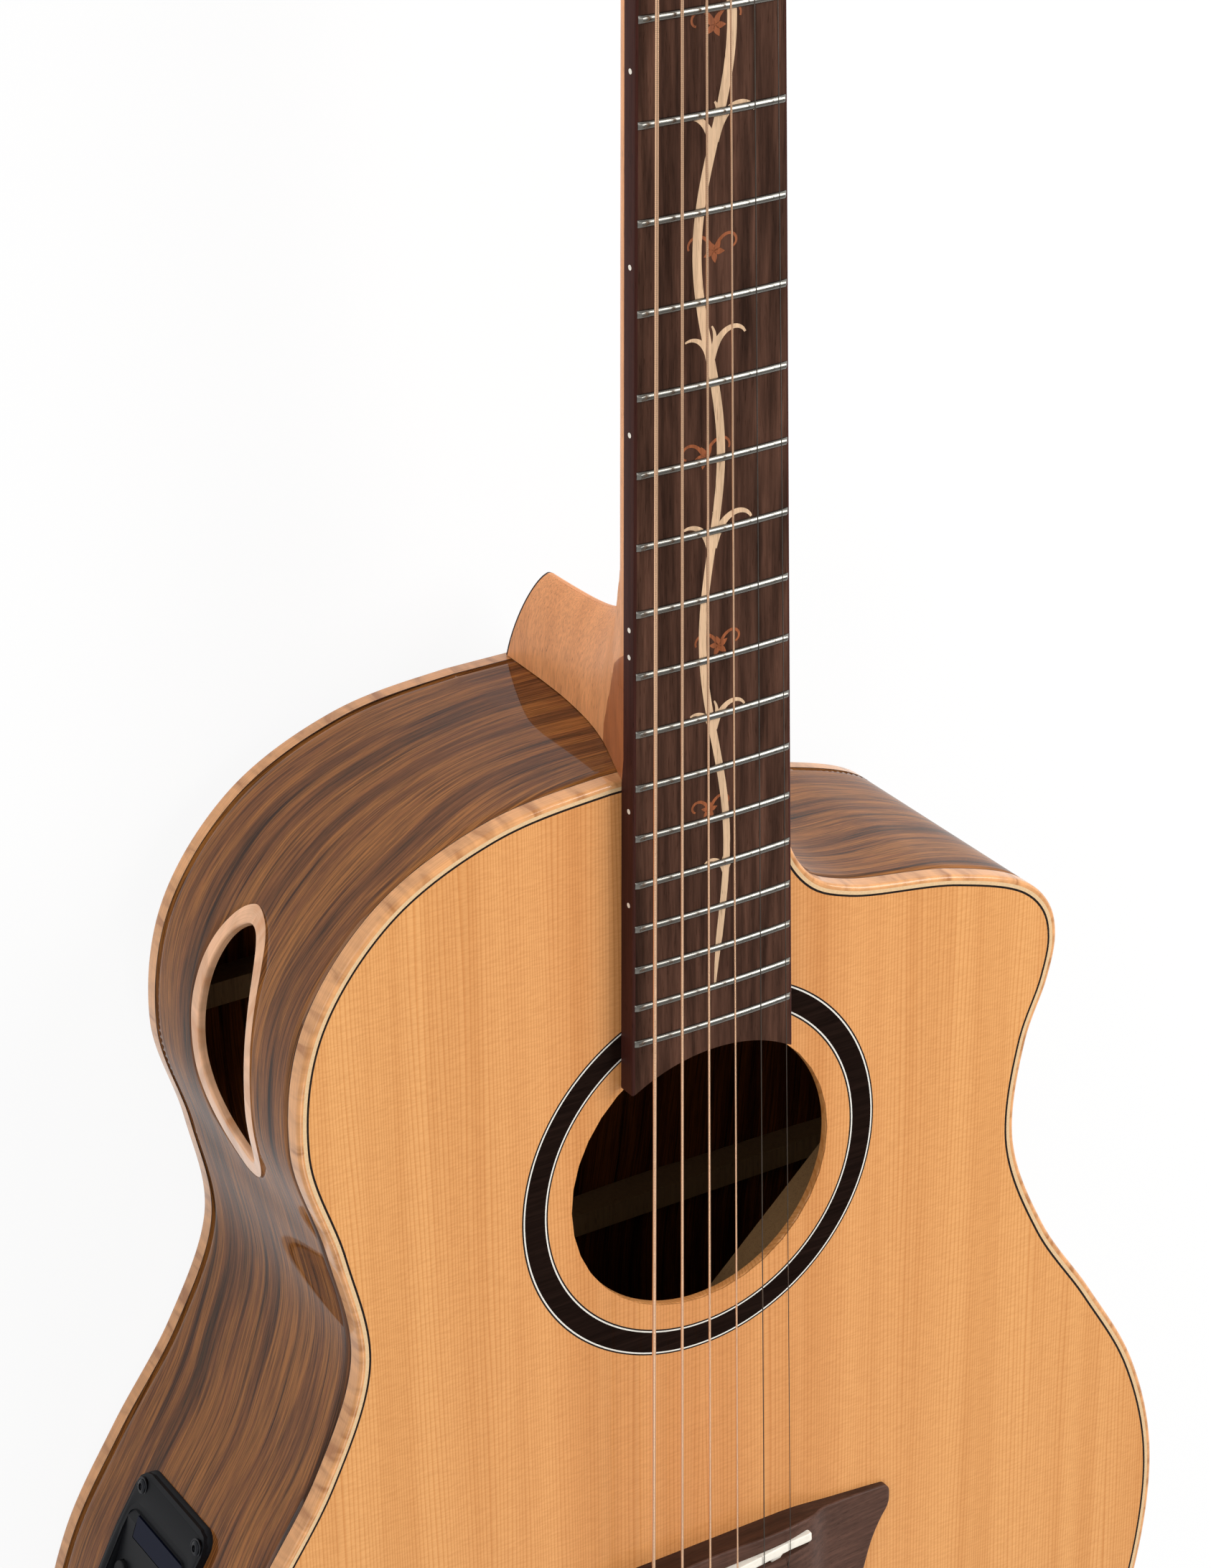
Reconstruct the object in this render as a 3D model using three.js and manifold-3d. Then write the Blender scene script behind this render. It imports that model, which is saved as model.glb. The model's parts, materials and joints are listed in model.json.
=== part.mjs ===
// Acoustic-electric guitar with a round cutaway, lying on its back.
// Millimetres. +Z out of the soundboard, +Y towards the headstock, +X towards the thin strings.
// The guitar is drawn from the nut, on the soundboard's plane, and moved once at the end, so that the
// origin is on its centre line, under the middle of its length, at the lowest point of its back.
import * as THREE from 'three';
import { mergeVertices } from 'three/addons/utils/BufferGeometryUtils.js';
import Module from 'manifold-3d';

const wasm = await Module();
wasm.setup();

// Clearances
const seat = 0.3;
const runningGap = 0.3;
const overrun = 6;
const weldTolerance = 0.0005;

// Scale and frets
const scaleLength = 648;
const fretCount = 20;
const octaveFrets = 12;
const jointFret = 14;
const fretWidth = 2.2;
const fretHeight = 1.1;
const fretTang = 1.5;
const fretInset = 0.7;

// Fretboard and nut
const nutWidth = 44.2;
const jointWidth = 54.8;
const boardEdgeThickness = 5.2;
const boardCrownRadius = 406;
const boardTipLength = 106.5;
const nutThickness = 5;
const nutStand = 0.9;
const slotClearance = 0.3;

// Neck, heel and headstock
const neckRise = 1.1;
const shaftDepthAtNut = 15.5;
const shaftDepthAtHeel = 18;
const shaftRoundness = 1.7;
const heelDepth = 95.9;
const heelLength = 28.7;
const heelCapRise = 9.6;
const heelRoundness = 1.76;
const heelSweep = 81;
const heelSoftness = 8.9;
const heelCapThickness = 1.5;
const keelHalf = 0.7;
const headAngle = 14;
const headLength = 186;
const headWidth = 76;
const headThickness = 15;

// Truss rod
const rodRadius = 2.5;
const rodDepth = 9.2;
const rodNutRadius = 4.5;
const rodNutLength = 9;

// Body box
const bodyLength = 492.6;
const upperBoutWidth = 275.6;
const waistWidth = 241.4;
const lowerBoutWidth = 375.4;
const jointFlatWidth = 62;
const depthAtNeck = 98.2;
const depthAtTail = 109.6;
const depthRiseShares = [0.08, 0.55];
const backDome = 4;
const topThickness = 2.8;
const sideThickness = 2.4;
const backThickness = 2.6;
const bindingWidth = 1.7;
const bindingHeight = 5.7;
const liningWidth = 6;
const liningHeight = 14;

// Soundhole and rosette
const soundholeRadius = 47;
const soundholeFromNut = 500.2;
const rosetteInnerRadius = 56.5;
const rosetteOuterRadius = 63.5;
const rosetteDepth = 1;

// Blocks and braces
const neckBlockWidth = 56;
const neckBlockLength = 30;
const tailBlockWidth = 84;
const tailBlockLength = 26;
const braceWidth = 8;
const braceHeight = 13;
const braceCrossing = 574;
const braceCrossAngle = 47;
const transverseBraceFromNut = 432;
const soundholeBraceOut = 68;
const toneBarAngle = 62;
const bridgePlateLength = 160;
const bridgePlateWidth = 36;
const bridgePlateThickness = 3;
const backBraceHeight = 13;
const backStripWidth = 20;
const backStripThickness = 2;

// Bridge, saddle, pickup and pins
const bridgeHalfLength = 73;
const bridgeWidth = 40;
const bridgeHeight = 8.7;
const bridgeFrontFromNut = 641.3;
const bridgeEdgeRound = 1;
const saddleFromNut = 650.6;
const saddleSlant = 3.2;
const saddleLength = 72;
const saddleThickness = 6;
const saddleCrown = 0.8;
const saddleSlotDepth = 6;
const pickupThickness = 1.2;
const pinFromNut = 663;
const pinRadius = 2.7;
const pinTipRadius = 2.1;
const pinHeadRadius = 3.9;
const pinHeadHeight = 3.6;
const pinLength = 24;

// Strings
const stringRadii = [0.67, 0.53, 0.41, 0.3, 0.2, 0.15];
const stringSpreadAtNut = 35;
const stringSpreadAtSaddle = 54;
const nutAction = 0.45;
const bassAction = 2.3;
const trebleAction = 1.7;
const ballRadius = 1.7;
const ballLength = 3.4;
const wrapTurns = 1.5;
const wrapSteps = 24;
const wrapGap = 0.45;
const stringSides = 6;

// Machine heads
const firstPostFromNut = 42;
const postPitch = 39;
const firstPostOut = 21.5;
const postOutStep = 2.2;
const postRadius = 3;
const postWaistRadius = 2.5;
const postHeight = 18;
const postWaistLow = 5.5;
const postWaistHigh = 14.5;
const postSink = 9;
const bushingRadius = 4.7;
const washerRadius = 6.8;
const washerThickness = 1.5;
const gearboxWidth = 18;
const gearboxLength = 22;
const gearboxDepth = 12.5;
const gearboxCorner = 4;
const gearboxOutset = 1.5;
const buttonShaftRadius = 2;
const buttonShaftLength = 9;
const buttonShaftSink = 4;
const knobLength = 15;
const knobRadius = 9.5;
const knobFlatness = 0.5;

// Soundport in the bass side
const portFromNut = 439.65;
const portLength = 88.3;
const portHeight = 38.8;
const portDepth = 49.4;
const portRingThickness = 2.4;

// Preamp in the bass side
const preampFromNeck = 393.3;
const preampDrop = 57.4;
const preampLength = 86;
const preampHeight = 46;
const preampCorner = 6;
const preampPlate = 2.5;
const preampPanelLength = 65;
const preampPanelHeight = 41;
const preampPanelSink = 1;
const preampOpeningMargin = 1.5;
const controlDepth = 26;
const batteryBoxDepth = 57;
const windowFromEnd = 16.3;
const windowWidth = 7.5;
const windowLength = 31;
const windowThickness = 1;
const windowLift = 2;
const pushFromEnd = 32.5;
const pushDrop = 14;
const pushRadius = 3.4;
const pushLength = 8;
const pushStand = 1.6;
const pushTravel = 1;
const volumeFromEnd = 40;
const volumeRise = 8;
const volumeRadius = 6.5;
const volumeHeight = 6.5;
const volumeShaftRadius = 3;
const volumeShaftLength = 11;
const trayFromEnd = 63.2;
const trayFaceWidth = 21;
const trayFaceHeight = 37;
const trayFaceThickness = 1.8;
const trayWall = 1.2;
const batteryWidth = 17.5;
const batteryHeight = 26.5;
const batteryLength = 48.5;

// Endpin jack and strap button
const jackFlangeRadius = 9.5;
const jackFlangeThickness = 1.5;
const jackWaistRadius = 6;
const jackHeadRadius = 8;
const jackHeadThickness = 3;
const jackStand = 13;
const jackSleeveRadius = 5.8;
const jackBoreRadius = 3.4;
const jackBoreDepth = 33;
const jackNutRadius = 9;
const jackNutThickness = 3;
const buttonRadius = 7;
const buttonWaistRadius = 4.2;
const buttonHeight = 12;
const buttonRim = 2.4;
const buttonScrewRadius = 2;
const buttonScrewLength = 14;
const buttonFromJoint = 12;
const buttonDepth = 50;

// Counts of facets
const facetsPerSpan = 2;
const crownFacets = 4;
const sectionSteps = 6;
const roundFacets = 10;
const holeFacets = 36;

// Places worked out from the sizes above
const fretPlace = (n) => -scaleLength * (1 - 2 ** (-n / octaveFrets));
const jointY = fretPlace(jointFret);
const tailY = jointY - bodyLength;
const boardEndY = jointY - boardTipLength;
const upperHalf = upperBoutWidth / 2;
const waistHalf = waistWidth / 2;
const lowerHalf = lowerBoutWidth / 2;
const neckFaceY = jointY + seat;
const boardBottom = neckRise + seat;
const boardTopEdge = boardBottom + boardEdgeThickness;
const boardTopCentre = boardTopEdge + jointWidth ** 2 / (8 * boardCrownRadius);
const boardHalf = (y) => (nutWidth + ((jointWidth - nutWidth) * y) / jointY) / 2;
const boardTop = (x) => boardTopCentre - x ** 2 / (2 * boardCrownRadius);
const bracketZ = -topThickness - seat;
const radians = THREE.MathUtils.degToRad;
const lerp = THREE.MathUtils.lerp;

// Materials
const finish = (color, roughness, metalness = 0) => new THREE.MeshStandardMaterial({ color, roughness, metalness });
const spruce = finish(0xe0a763, 0.3);
const rosewood = finish(0x7a4f34, 0.3);
const maple = finish(0xd9ab78, 0.35);
const darkwood = finish(0x3b2a22, 0.5);
const mahogany = finish(0xb27c54, 0.45);
const bracewood = finish(0xd8bd92, 0.7);
const bone = finish(0xf1e9d6, 0.4);
const steel = finish(0xc8ccd0, 0.25, 1);
const chrome = finish(0xd6d8da, 0.12, 1);
const bronze = finish(0xc98a52, 0.35, 1);
const blackPlastic = finish(0x1a1b1d, 0.45);
const display = finish(0x2a2f3c, 0.15);
const batteryCase = finish(0x55585c, 0.4);

// Solids

// A closed geometry as a solid that can be joined and cut
function solid(geometry) {
  const bare = geometry.clone();
  bare.deleteAttribute('normal');
  bare.deleteAttribute('uv');
  const merged = mergeVertices(bare, weldTolerance);
  const vertProperties = new Float32Array(merged.getAttribute('position').array);
  const triVerts = new Uint32Array(merged.index.array);
  return new wasm.Manifold(new wasm.Mesh({ numProp: 3, vertProperties, triVerts }));
}

function geometryOf(body) {
  const mesh = body.getMesh();
  const geometry = new THREE.BufferGeometry();
  geometry.setAttribute('position', new THREE.BufferAttribute(new Float32Array(mesh.vertProperties), 3));
  geometry.setIndex(new THREE.BufferAttribute(new Uint32Array(mesh.triVerts), 1));
  geometry.computeVertexNormals();
  return geometry;
}

// Triangles over one flat ring of points, numbered from first
function capTriangles(ring, first) {
  const normal = new THREE.Vector3();
  ring.forEach((point, i) => normal.add(new THREE.Vector3().crossVectors(point, ring[(i + 1) % ring.length])));
  const along = new THREE.Vector3().subVectors(ring[1], ring[0]).normalize();
  const across = new THREE.Vector3().crossVectors(normal, along).normalize();
  const flat = ring.map((point) => new THREE.Vector2(point.dot(along), point.dot(across)));
  return THREE.ShapeUtils.triangulateShape(flat, []).map((face) => face.map((i) => first + i));
}

// A skin over rings of equal point counts: capped at both ends, or closed on itself
function loft(rings, closed = false) {
  const size = rings[0].length;
  const faces = [];
  const spans = closed ? rings.length : rings.length - 1;
  for (let r = 0; r < spans; r += 1) {
    const here = r * size;
    const next = ((r + 1) % rings.length) * size;
    for (let i = 0; i < size; i += 1) {
      const j = (i + 1) % size;
      faces.push([here + i, here + j, next + j], [here + i, next + j, next + i]);
    }
  }
  if (!closed) {
    const last = (rings.length - 1) * size;
    capTriangles(rings[0], 0).forEach(([a, b, c]) => faces.push([a, c, b]));
    capTriangles(rings[rings.length - 1], last).forEach((face) => faces.push(face));
  }
  const points = rings.flat();
  let volume = 0;
  faces.forEach(([a, b, c]) => {
    volume += points[a].dot(new THREE.Vector3().crossVectors(points[b], points[c]));
  });
  const outward = volume > 0 ? faces : faces.map(([a, b, c]) => [a, c, b]);
  const geometry = new THREE.BufferGeometry().setFromPoints(points);
  geometry.setIndex(outward.flat());
  return solid(geometry);
}

// A flat outline with holes, drawn in X and Y and standing from low to high
function plate(points, low, high, holes = []) {
  const shape = new THREE.Shape(points);
  holes.forEach((hole) => shape.holes.push(new THREE.Path(hole)));
  const geometry = new THREE.ExtrudeGeometry(shape, { depth: high - low, bevelEnabled: false });
  return solid(geometry.translate(0, 0, low));
}

function block(lowX, highX, lowY, highY, lowZ, highZ) {
  const geometry = new THREE.BoxGeometry(highX - lowX, highY - lowY, highZ - lowZ);
  return solid(geometry.translate((lowX + highX) / 2, (lowY + highY) / 2, (lowZ + highZ) / 2));
}

function roundRod(radius, low, high, facets = roundFacets) {
  const geometry = new THREE.CylinderGeometry(radius, radius, high - low, facets);
  return solid(geometry.translate(0, (low + high) / 2, 0));
}

function turned(profile, facets = roundFacets) {
  return solid(new THREE.LatheGeometry(profile.map(([r, y]) => new THREE.Vector2(r, y)), facets));
}

function moved(body, matrix) {
  return solid(geometryOf(body).applyMatrix4(matrix));
}

const shift = (x, y, z) => new THREE.Matrix4().makeTranslation(x, y, z);
const quarter = Math.PI / 2;
const upright = new THREE.Matrix4().makeRotationX(quarter);
const sideways = new THREE.Matrix4().makeRotationZ(-quarter);

function joined(bodies) {
  return bodies.reduce((whole, body) => whole.add(body));
}

function circle(radius, x, y, facets = holeFacets) {
  const angle = (i) => (2 * Math.PI * i) / facets;
  const point = (_, i) => new THREE.Vector2(x + radius * Math.cos(angle(i)), y + radius * Math.sin(angle(i)));
  return Array.from({ length: facets }, point);
}

function roundedBox(halfX, halfY, radius) {
  const points = [];
  [[1, 1], [-1, 1], [-1, -1], [1, -1]].forEach(([sx, sy], corner) => {
    for (let i = 0; i < 4; i += 1) {
      const angle = quarter * (corner + i / 3);
      const x = sx * (halfX - radius) + radius * Math.cos(angle);
      const y = sy * (halfY - radius) + radius * Math.sin(angle);
      points.push(new THREE.Vector2(x, y));
    }
  });
  return points;
}

// A closed outline moved inwards by its neighbours' normals; a negative distance moves it outwards
function inset(points, distance) {
  const count = points.length;
  const normal = (a, b) => new THREE.Vector2(a.y - b.y, b.x - a.x).normalize();
  return points.map((point, i) => {
    const before = normal(points[(i + count - 1) % count], point);
    const after = normal(point, points[(i + 1) % count]);
    const mitre = before.clone().add(after).divideScalar(1 + before.dot(after));
    return new THREE.Vector2(point.x + mitre.x * distance, point.y + mitre.y * distance);
  });
}

// Reads a table of shares between its rows
function along(shares, at) {
  const last = shares.length - 1;
  let i = 0;
  while (i < last - 1 && at > shares[i + 1][0]) i += 1;
  const [lowAt, low] = shares[i];
  const [highAt, high] = shares[i + 1];
  return lerp(low, high, (at - lowAt) / (highAt - lowAt));
}

const guitar = new THREE.Group();
const instrument = new THREE.Group();
guitar.add(instrument);

function add(group, name, body, material) {
  const mesh = new THREE.Mesh(geometryOf(body), material);
  mesh.name = name;
  group.add(mesh);
  return mesh;
}

// Body outline, seen from above: neck centre, bass side, tail, treble side with the cutaway.
// Each row is a share of a bout's half width and a share of the body's length.
const shoulderShares = [[0.515, 0.0095], [0.776, 0.044], [0.954, 0.107], [0.9985, 0.1865]];
const waistShares = [[1.056, 0.265], [1.004, 0.344]];
const lowerShares = [
  [0.719, 0.42], [0.833, 0.488], [0.938, 0.559], [0.994, 0.637], [0.988, 0.718],
  [0.93, 0.801], [0.8125, 0.874], [0.629, 0.937], [0.37, 0.982],
];
const cutawayShares = [
  [0.2264, 0.0418], [0.2358, 0.0763], [0.3019, 0.1039], [0.402, 0.1173], [0.693, 0.133],
  [0.8948, 0.1547], [0.9637, 0.1762], [0.9826, 0.2002], [0.963, 0.2296], [0.906, 0.2716],
];

function outline() {
  const place = (half, side) => ([across, along]) => (
    new THREE.Vector3(side * half * across, jointY - along * bodyLength, 0)
  );
  const points = [
    new THREE.Vector3(-jointFlatWidth / 2, jointY, 0),
    ...shoulderShares.map(place(upperHalf, -1)),
    ...waistShares.map(place(waistHalf, -1)),
    ...lowerShares.map(place(lowerHalf, -1)),
    new THREE.Vector3(0, tailY, 0),
    ...lowerShares.map(place(lowerHalf, 1)).reverse(),
    place(waistHalf, 1)(waistShares[1]),
    ...cutawayShares.map(place(upperHalf, 1)).reverse(),
    new THREE.Vector3(jointFlatWidth / 2, jointY, 0),
  ];
  const curve = new THREE.CatmullRomCurve3(points, false, 'centripetal');
  const stations = curve.getPoints((points.length - 1) * facetsPerSpan);
  return [new THREE.Vector2(0, jointY), ...stations.map((point) => new THREE.Vector2(point.x, point.y))];
}

const bodyOutline = outline();

// The back's edge sweeps smoothly from its depth at the neck to its depth at the tail
function edgeZ(y) {
  const [start, end] = depthRiseShares;
  const sweep = THREE.MathUtils.smoothstep((jointY - y) / bodyLength, start, end);
  return -lerp(depthAtNeck, depthAtTail, sweep);
}

// A band that follows the outline between two insets and two heights
function band(outer, inner, topZ, bottomZ) {
  const outside = inset(bodyOutline, outer);
  const inside = inset(bodyOutline, inner);
  const rings = bodyOutline.map((point, i) => {
    const top = topZ(point.y);
    const bottom = bottomZ(point.y);
    return [
      new THREE.Vector3(outside[i].x, outside[i].y, top),
      new THREE.Vector3(outside[i].x, outside[i].y, bottom),
      new THREE.Vector3(inside[i].x, inside[i].y, bottom),
      new THREE.Vector3(inside[i].x, inside[i].y, top),
    ];
  });
  return loft(rings, true);
}

// Rings that shrink towards the middle of the back and sink with its dome
const domeShares = [1, 0.8, 0.4];
const domeCentreShare = 0.57;

function domeRings(insetBy, lift) {
  const edge = inset(bodyOutline, insetBy);
  const centre = new THREE.Vector2(0, jointY - domeCentreShare * bodyLength);
  return domeShares.map((share) => edge.map((point) => {
    const at = centre.clone().lerp(point, share);
    return new THREE.Vector3(at.x, at.y, edgeZ(at.y) - backDome * (1 - share ** 2) + lift);
  }));
}

const lowestZ = Math.min(...domeRings(bindingWidth + seat, 0).flat().map((point) => point.z));

// The air space inside the sides, under the soundboard and over the back
function cavity(lift) {
  const edge = inset(bodyOutline, sideThickness + seat);
  const top = edge.map((point) => new THREE.Vector3(point.x, point.y, bracketZ + lift));
  return loft([top, ...domeRings(sideThickness + seat, backThickness + seat + lift)]);
}

// Linings: a band with a sloping inner face, glued along the sides' edges
function lining(grow, fromTop) {
  const wall = sideThickness + seat - grow;
  const reach = sideThickness + seat + liningWidth + grow;
  const height = liningHeight + 4 * grow;
  const outside = inset(bodyOutline, wall);
  const inside = inset(bodyOutline, reach);
  const rings = bodyOutline.map((point, i) => {
    const face = fromTop ? bracketZ + grow : edgeZ(point.y) + backThickness + seat - grow;
    const down = fromTop ? -1 : 1;
    const middle = face + (down * height) / 2;
    const far = face + down * height;
    return [
      new THREE.Vector3(outside[i].x, outside[i].y, face),
      new THREE.Vector3(inside[i].x, inside[i].y, face),
      new THREE.Vector3(inside[i].x, inside[i].y, middle),
      new THREE.Vector3(outside[i].x, outside[i].y, far),
    ];
  });
  return loft(rings, true);
}

const space = cavity(0);
const topLiningKeepout = lining(seat, true);
const backLiningKeepout = lining(seat, false);

// The truss rod's way through the neck, the side and the block
const rodAxis = shift(0, 0, -rodDepth);
const neckBlockEnd = jointY - sideThickness - seat - neckBlockLength;
const rodNutY = neckBlockEnd - seat;
const rodBore = moved(roundRod(rodRadius + runningGap, rodNutY - overrun, 0), rodAxis);

// Endpin jack's hole through the tail
const jackHole = roundRod(jackSleeveRadius + seat, tailY - overrun, tailY + tailBlockLength * 2);
const jackAxisZ = edgeZ(tailY) / 2;
const jackPlace = shift(0, 0, jackAxisZ);

// Teardrop outline of the soundport, in shares of its length and height, from the neck end round below
const portRingShares = [
  [0, -0.046], [0.015, -0.149], [0.043, -0.232], [0.085, -0.304], [0.136, -0.366], [0.219, -0.428],
  [0.309, -0.469], [0.408, -0.495], [0.52, -0.484], [0.612, -0.459], [0.708, -0.412], [0.798, -0.371],
  [0.889, -0.309], [0.952, -0.222], [0.993, -0.108], [1, 0.021], [0.984, 0.134], [0.941, 0.227],
  [0.861, 0.34], [0.77, 0.43], [0.663, 0.487], [0.515, 0.5], [0.368, 0.479], [0.238, 0.436],
  [0.136, 0.361], [0.065, 0.258], [0.024, 0.139],
];
const portHoleShares = [
  [0.054, -0.03], [0.076, -0.135], [0.12, -0.225], [0.185, -0.29], [0.272, -0.34], [0.374, -0.37],
  [0.487, -0.375], [0.578, -0.35], [0.657, -0.29], [0.736, -0.225], [0.815, -0.145], [0.878, -0.035],
  [0.916, 0.07], [0.914, 0.144], [0.861, 0.227], [0.793, 0.294], [0.696, 0.356], [0.578, 0.384],
  [0.425, 0.384], [0.289, 0.351], [0.176, 0.278], [0.099, 0.175], [0.061, 0.072],
];

// A teardrop that runs along the body and is pushed through the bass side
function portPrism(shares, grow) {
  const startY = -portFromNut + portLength / 2;
  const outlinePoints = shares.map(([along, up]) => (
    new THREE.Vector2(startY - along * portLength, -portDepth + up * portHeight)
  ));
  const drawn = inset(outlinePoints.reverse(), -grow);
  const rings = [-upperHalf - overrun, -upperHalf / 2].map((x) => (
    drawn.map((point) => new THREE.Vector3(x, point.x, point.y))
  ));
  return loft(rings);
}

// Preamp frame: X along the side towards the tail, Y into the body, Z up
function preampFrame() {
  let left = preampFromNeck;
  let i = 0;
  while (left > bodyOutline[i].distanceTo(bodyOutline[i + 1])) {
    left -= bodyOutline[i].distanceTo(bodyOutline[i + 1]);
    i += 1;
  }
  const along = bodyOutline[i + 1].clone().sub(bodyOutline[i]).normalize();
  const at = bodyOutline[i].clone().addScaledVector(along, left);
  const frame = new THREE.Group();
  frame.position.set(at.x, at.y, -preampDrop);
  frame.rotation.z = Math.atan2(along.y, along.x);
  frame.updateMatrix();
  return frame;
}

const preamp = preampFrame();
const toPreamp = preamp.matrix.clone().invert();

// A rounded outline in the preamp's X and Z, standing from near to far along its Y
function preampPrism(halfX, halfZ, radius, near, far) {
  return moved(plate(roundedBox(halfX, halfZ, radius), -far, -near), upright);
}

const preampOpening = preampPrism(
  preampPanelLength / 2 + preampOpeningMargin,
  preampPanelHeight / 2 + preampOpeningMargin,
  preampOpeningMargin,
  -overrun,
  controlDepth,
);

// Pins and strings sit in rows across the bridge; place runs from -1, bass, to 1, treble
const stringCount = stringRadii.length;
const stringPlace = (i) => (2 * i) / (stringCount - 1) - 1;
const saddleX = (place) => (stringSpreadAtSaddle / 2) * place;
const nutX = (place) => (stringSpreadAtNut / 2) * place;
const pinY = -pinFromNut;
const stringDropY = (radius) => pinY + pinHeadRadius + runningGap + radius;

// The string's underside follows the frets' crown with its action
const nutBottom = (place) => boardTop(nutX(place)) + fretHeight + nutAction;

function saddleBottom(place) {
  const middle = (nutX(place) + saddleX(place)) / 2;
  const action = lerp(bassAction, trebleAction, (place + 1) / 2);
  return 2 * (boardTop(middle) + fretHeight + action) - nutBottom(place);
}

// Round pin hole with a slot towards the saddle that the string comes up through
function pinHole(i, clearance) {
  const x = saddleX(stringPlace(i));
  const half = stringRadii[i] + clearance;
  const radius = pinRadius + clearance;
  const front = stringDropY(stringRadii[i]) + half;
  const start = quarter + Math.asin(half / radius);
  const sweep = 2 * Math.PI - 2 * Math.asin(half / radius);
  const points = [new THREE.Vector2(x + half, front), new THREE.Vector2(x - half, front)];
  for (let k = 0; k <= roundFacets; k += 1) {
    const angle = start + (sweep * k) / roundFacets;
    points.push(new THREE.Vector2(x + radius * Math.cos(angle), pinY + radius * Math.sin(angle)));
  }
  return points;
}

const pinHoles = stringRadii.map((_, i) => pinHole(i, seat));

// Soundboard with its soundhole, pin holes and the groove of the rosette
function soundboard() {
  const board = plate(
    inset(bodyOutline, bindingWidth + seat),
    -topThickness,
    0,
    [circle(soundholeRadius, 0, -soundholeFromNut), ...pinHoles],
  );
  return board.subtract(rosetteRing(seat, -rosetteDepth - seat, overrun));
}

function rosetteRing(grow, low, high) {
  const outer = circle(rosetteOuterRadius + grow, 0, -soundholeFromNut);
  const inner = circle(rosetteInnerRadius - grow, 0, -soundholeFromNut);
  return plate(outer, low, high, [inner]);
}

function back() {
  const low = domeRings(bindingWidth + seat, 0);
  const high = domeRings(bindingWidth + seat, backThickness);
  return loft([...low.reverse(), ...high]);
}

// Sides: one bent band, parted under the neck and at the tail
function sides() {
  const top = () => -bindingHeight - seat;
  const bottom = (y) => edgeZ(y) + bindingHeight + seat;
  const parting = block(-seat / 2, seat / 2, tailY - overrun, jointY + overrun, lowestZ - overrun, overrun);
  const portCut = portPrism(portRingShares, seat);
  return band(0, sideThickness, top, bottom)
    .subtract(parting)
    .subtract(moved(jackHole, jackPlace))
    .subtract(rodBore)
    .subtract(portCut)
    .subtract(moved(preampOpening, preamp.matrix))
    .decompose()
    .sort((a, b) => a.boundingBox().min[0] - b.boundingBox().min[0]);
}

const [sideBass, sideTreble] = sides();

function neckBlock() {
  return block(-neckBlockWidth / 2, neckBlockWidth / 2, neckBlockEnd, jointY, lowestZ, 0)
    .intersect(space)
    .subtract(topLiningKeepout)
    .subtract(backLiningKeepout)
    .subtract(rodBore);
}

function tailBlock() {
  const near = tailY + sideThickness + seat + tailBlockLength;
  return block(-tailBlockWidth / 2, tailBlockWidth / 2, tailY, near, lowestZ, 0)
    .intersect(space)
    .subtract(topLiningKeepout)
    .subtract(backLiningKeepout)
    .subtract(moved(jackHole, jackPlace));
}

// A bar under the soundboard from one place to another
function topBar(fromX, fromY, toX, toY, width, height) {
  const length = Math.hypot(toX - fromX, toY - fromY);
  const bar = block(0, length, -width / 2, width / 2, bracketZ - height, bracketZ);
  const turn = new THREE.Matrix4().makeRotationZ(Math.atan2(toY - fromY, toX - fromX));
  return moved(bar, shift(fromX, fromY, 0).multiply(turn));
}

const toneBarShares = [0.28, 0.52];

function topBracing() {
  const reach = lowerBoutWidth;
  const slope = radians(braceCrossAngle);
  const alongX = Math.sin(slope) * reach;
  const alongY = Math.cos(slope) * reach;
  const crossY = -braceCrossing;
  const armY = (x) => crossY + x / Math.tan(slope);
  const plateFront = pinY + bridgePlateWidth / 2;
  const plateHalf = bridgePlateLength / 2;
  const bars = [
    topBar(-alongX, crossY - alongY, alongX, crossY + alongY, braceWidth, braceHeight),
    topBar(alongX, crossY - alongY, -alongX, crossY + alongY, braceWidth, braceHeight),
    topBar(-lowerHalf, -transverseBraceFromNut, lowerHalf, -transverseBraceFromNut, braceWidth, braceHeight),
  ];
  [-1, 1].forEach((side) => {
    const x = side * soundholeBraceOut;
    bars.push(topBar(x, -transverseBraceFromNut, x, armY(soundholeBraceOut), braceWidth, braceHeight / 2));
  });
  toneBarShares.forEach((share) => {
    const startX = -lowerHalf * (share + (1 - share) / 2);
    const startY = crossY + startX / Math.tan(slope);
    const turn = radians(toneBarAngle);
    const endX = startX + lowerHalf * Math.sin(turn);
    const endY = startY - lowerHalf * Math.cos(turn);
    bars.push(topBar(startX, startY, endX, endY, braceWidth * 0.8, braceHeight * 0.7));
  });
  const plateLow = bracketZ - bridgePlateThickness;
  const holder = block(-plateHalf, plateHalf, plateFront - bridgePlateWidth, plateFront, plateLow, bracketZ);
  return joined([...bars, holder])
    .intersect(space)
    .subtract(topLiningKeepout)
    .subtract(joined(pinHoles.map((hole) => plate(hole, bracketZ - braceHeight - overrun, 0))));
}

const backBraceShares = [0.17, 0.441, 0.68, 0.86];

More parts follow.
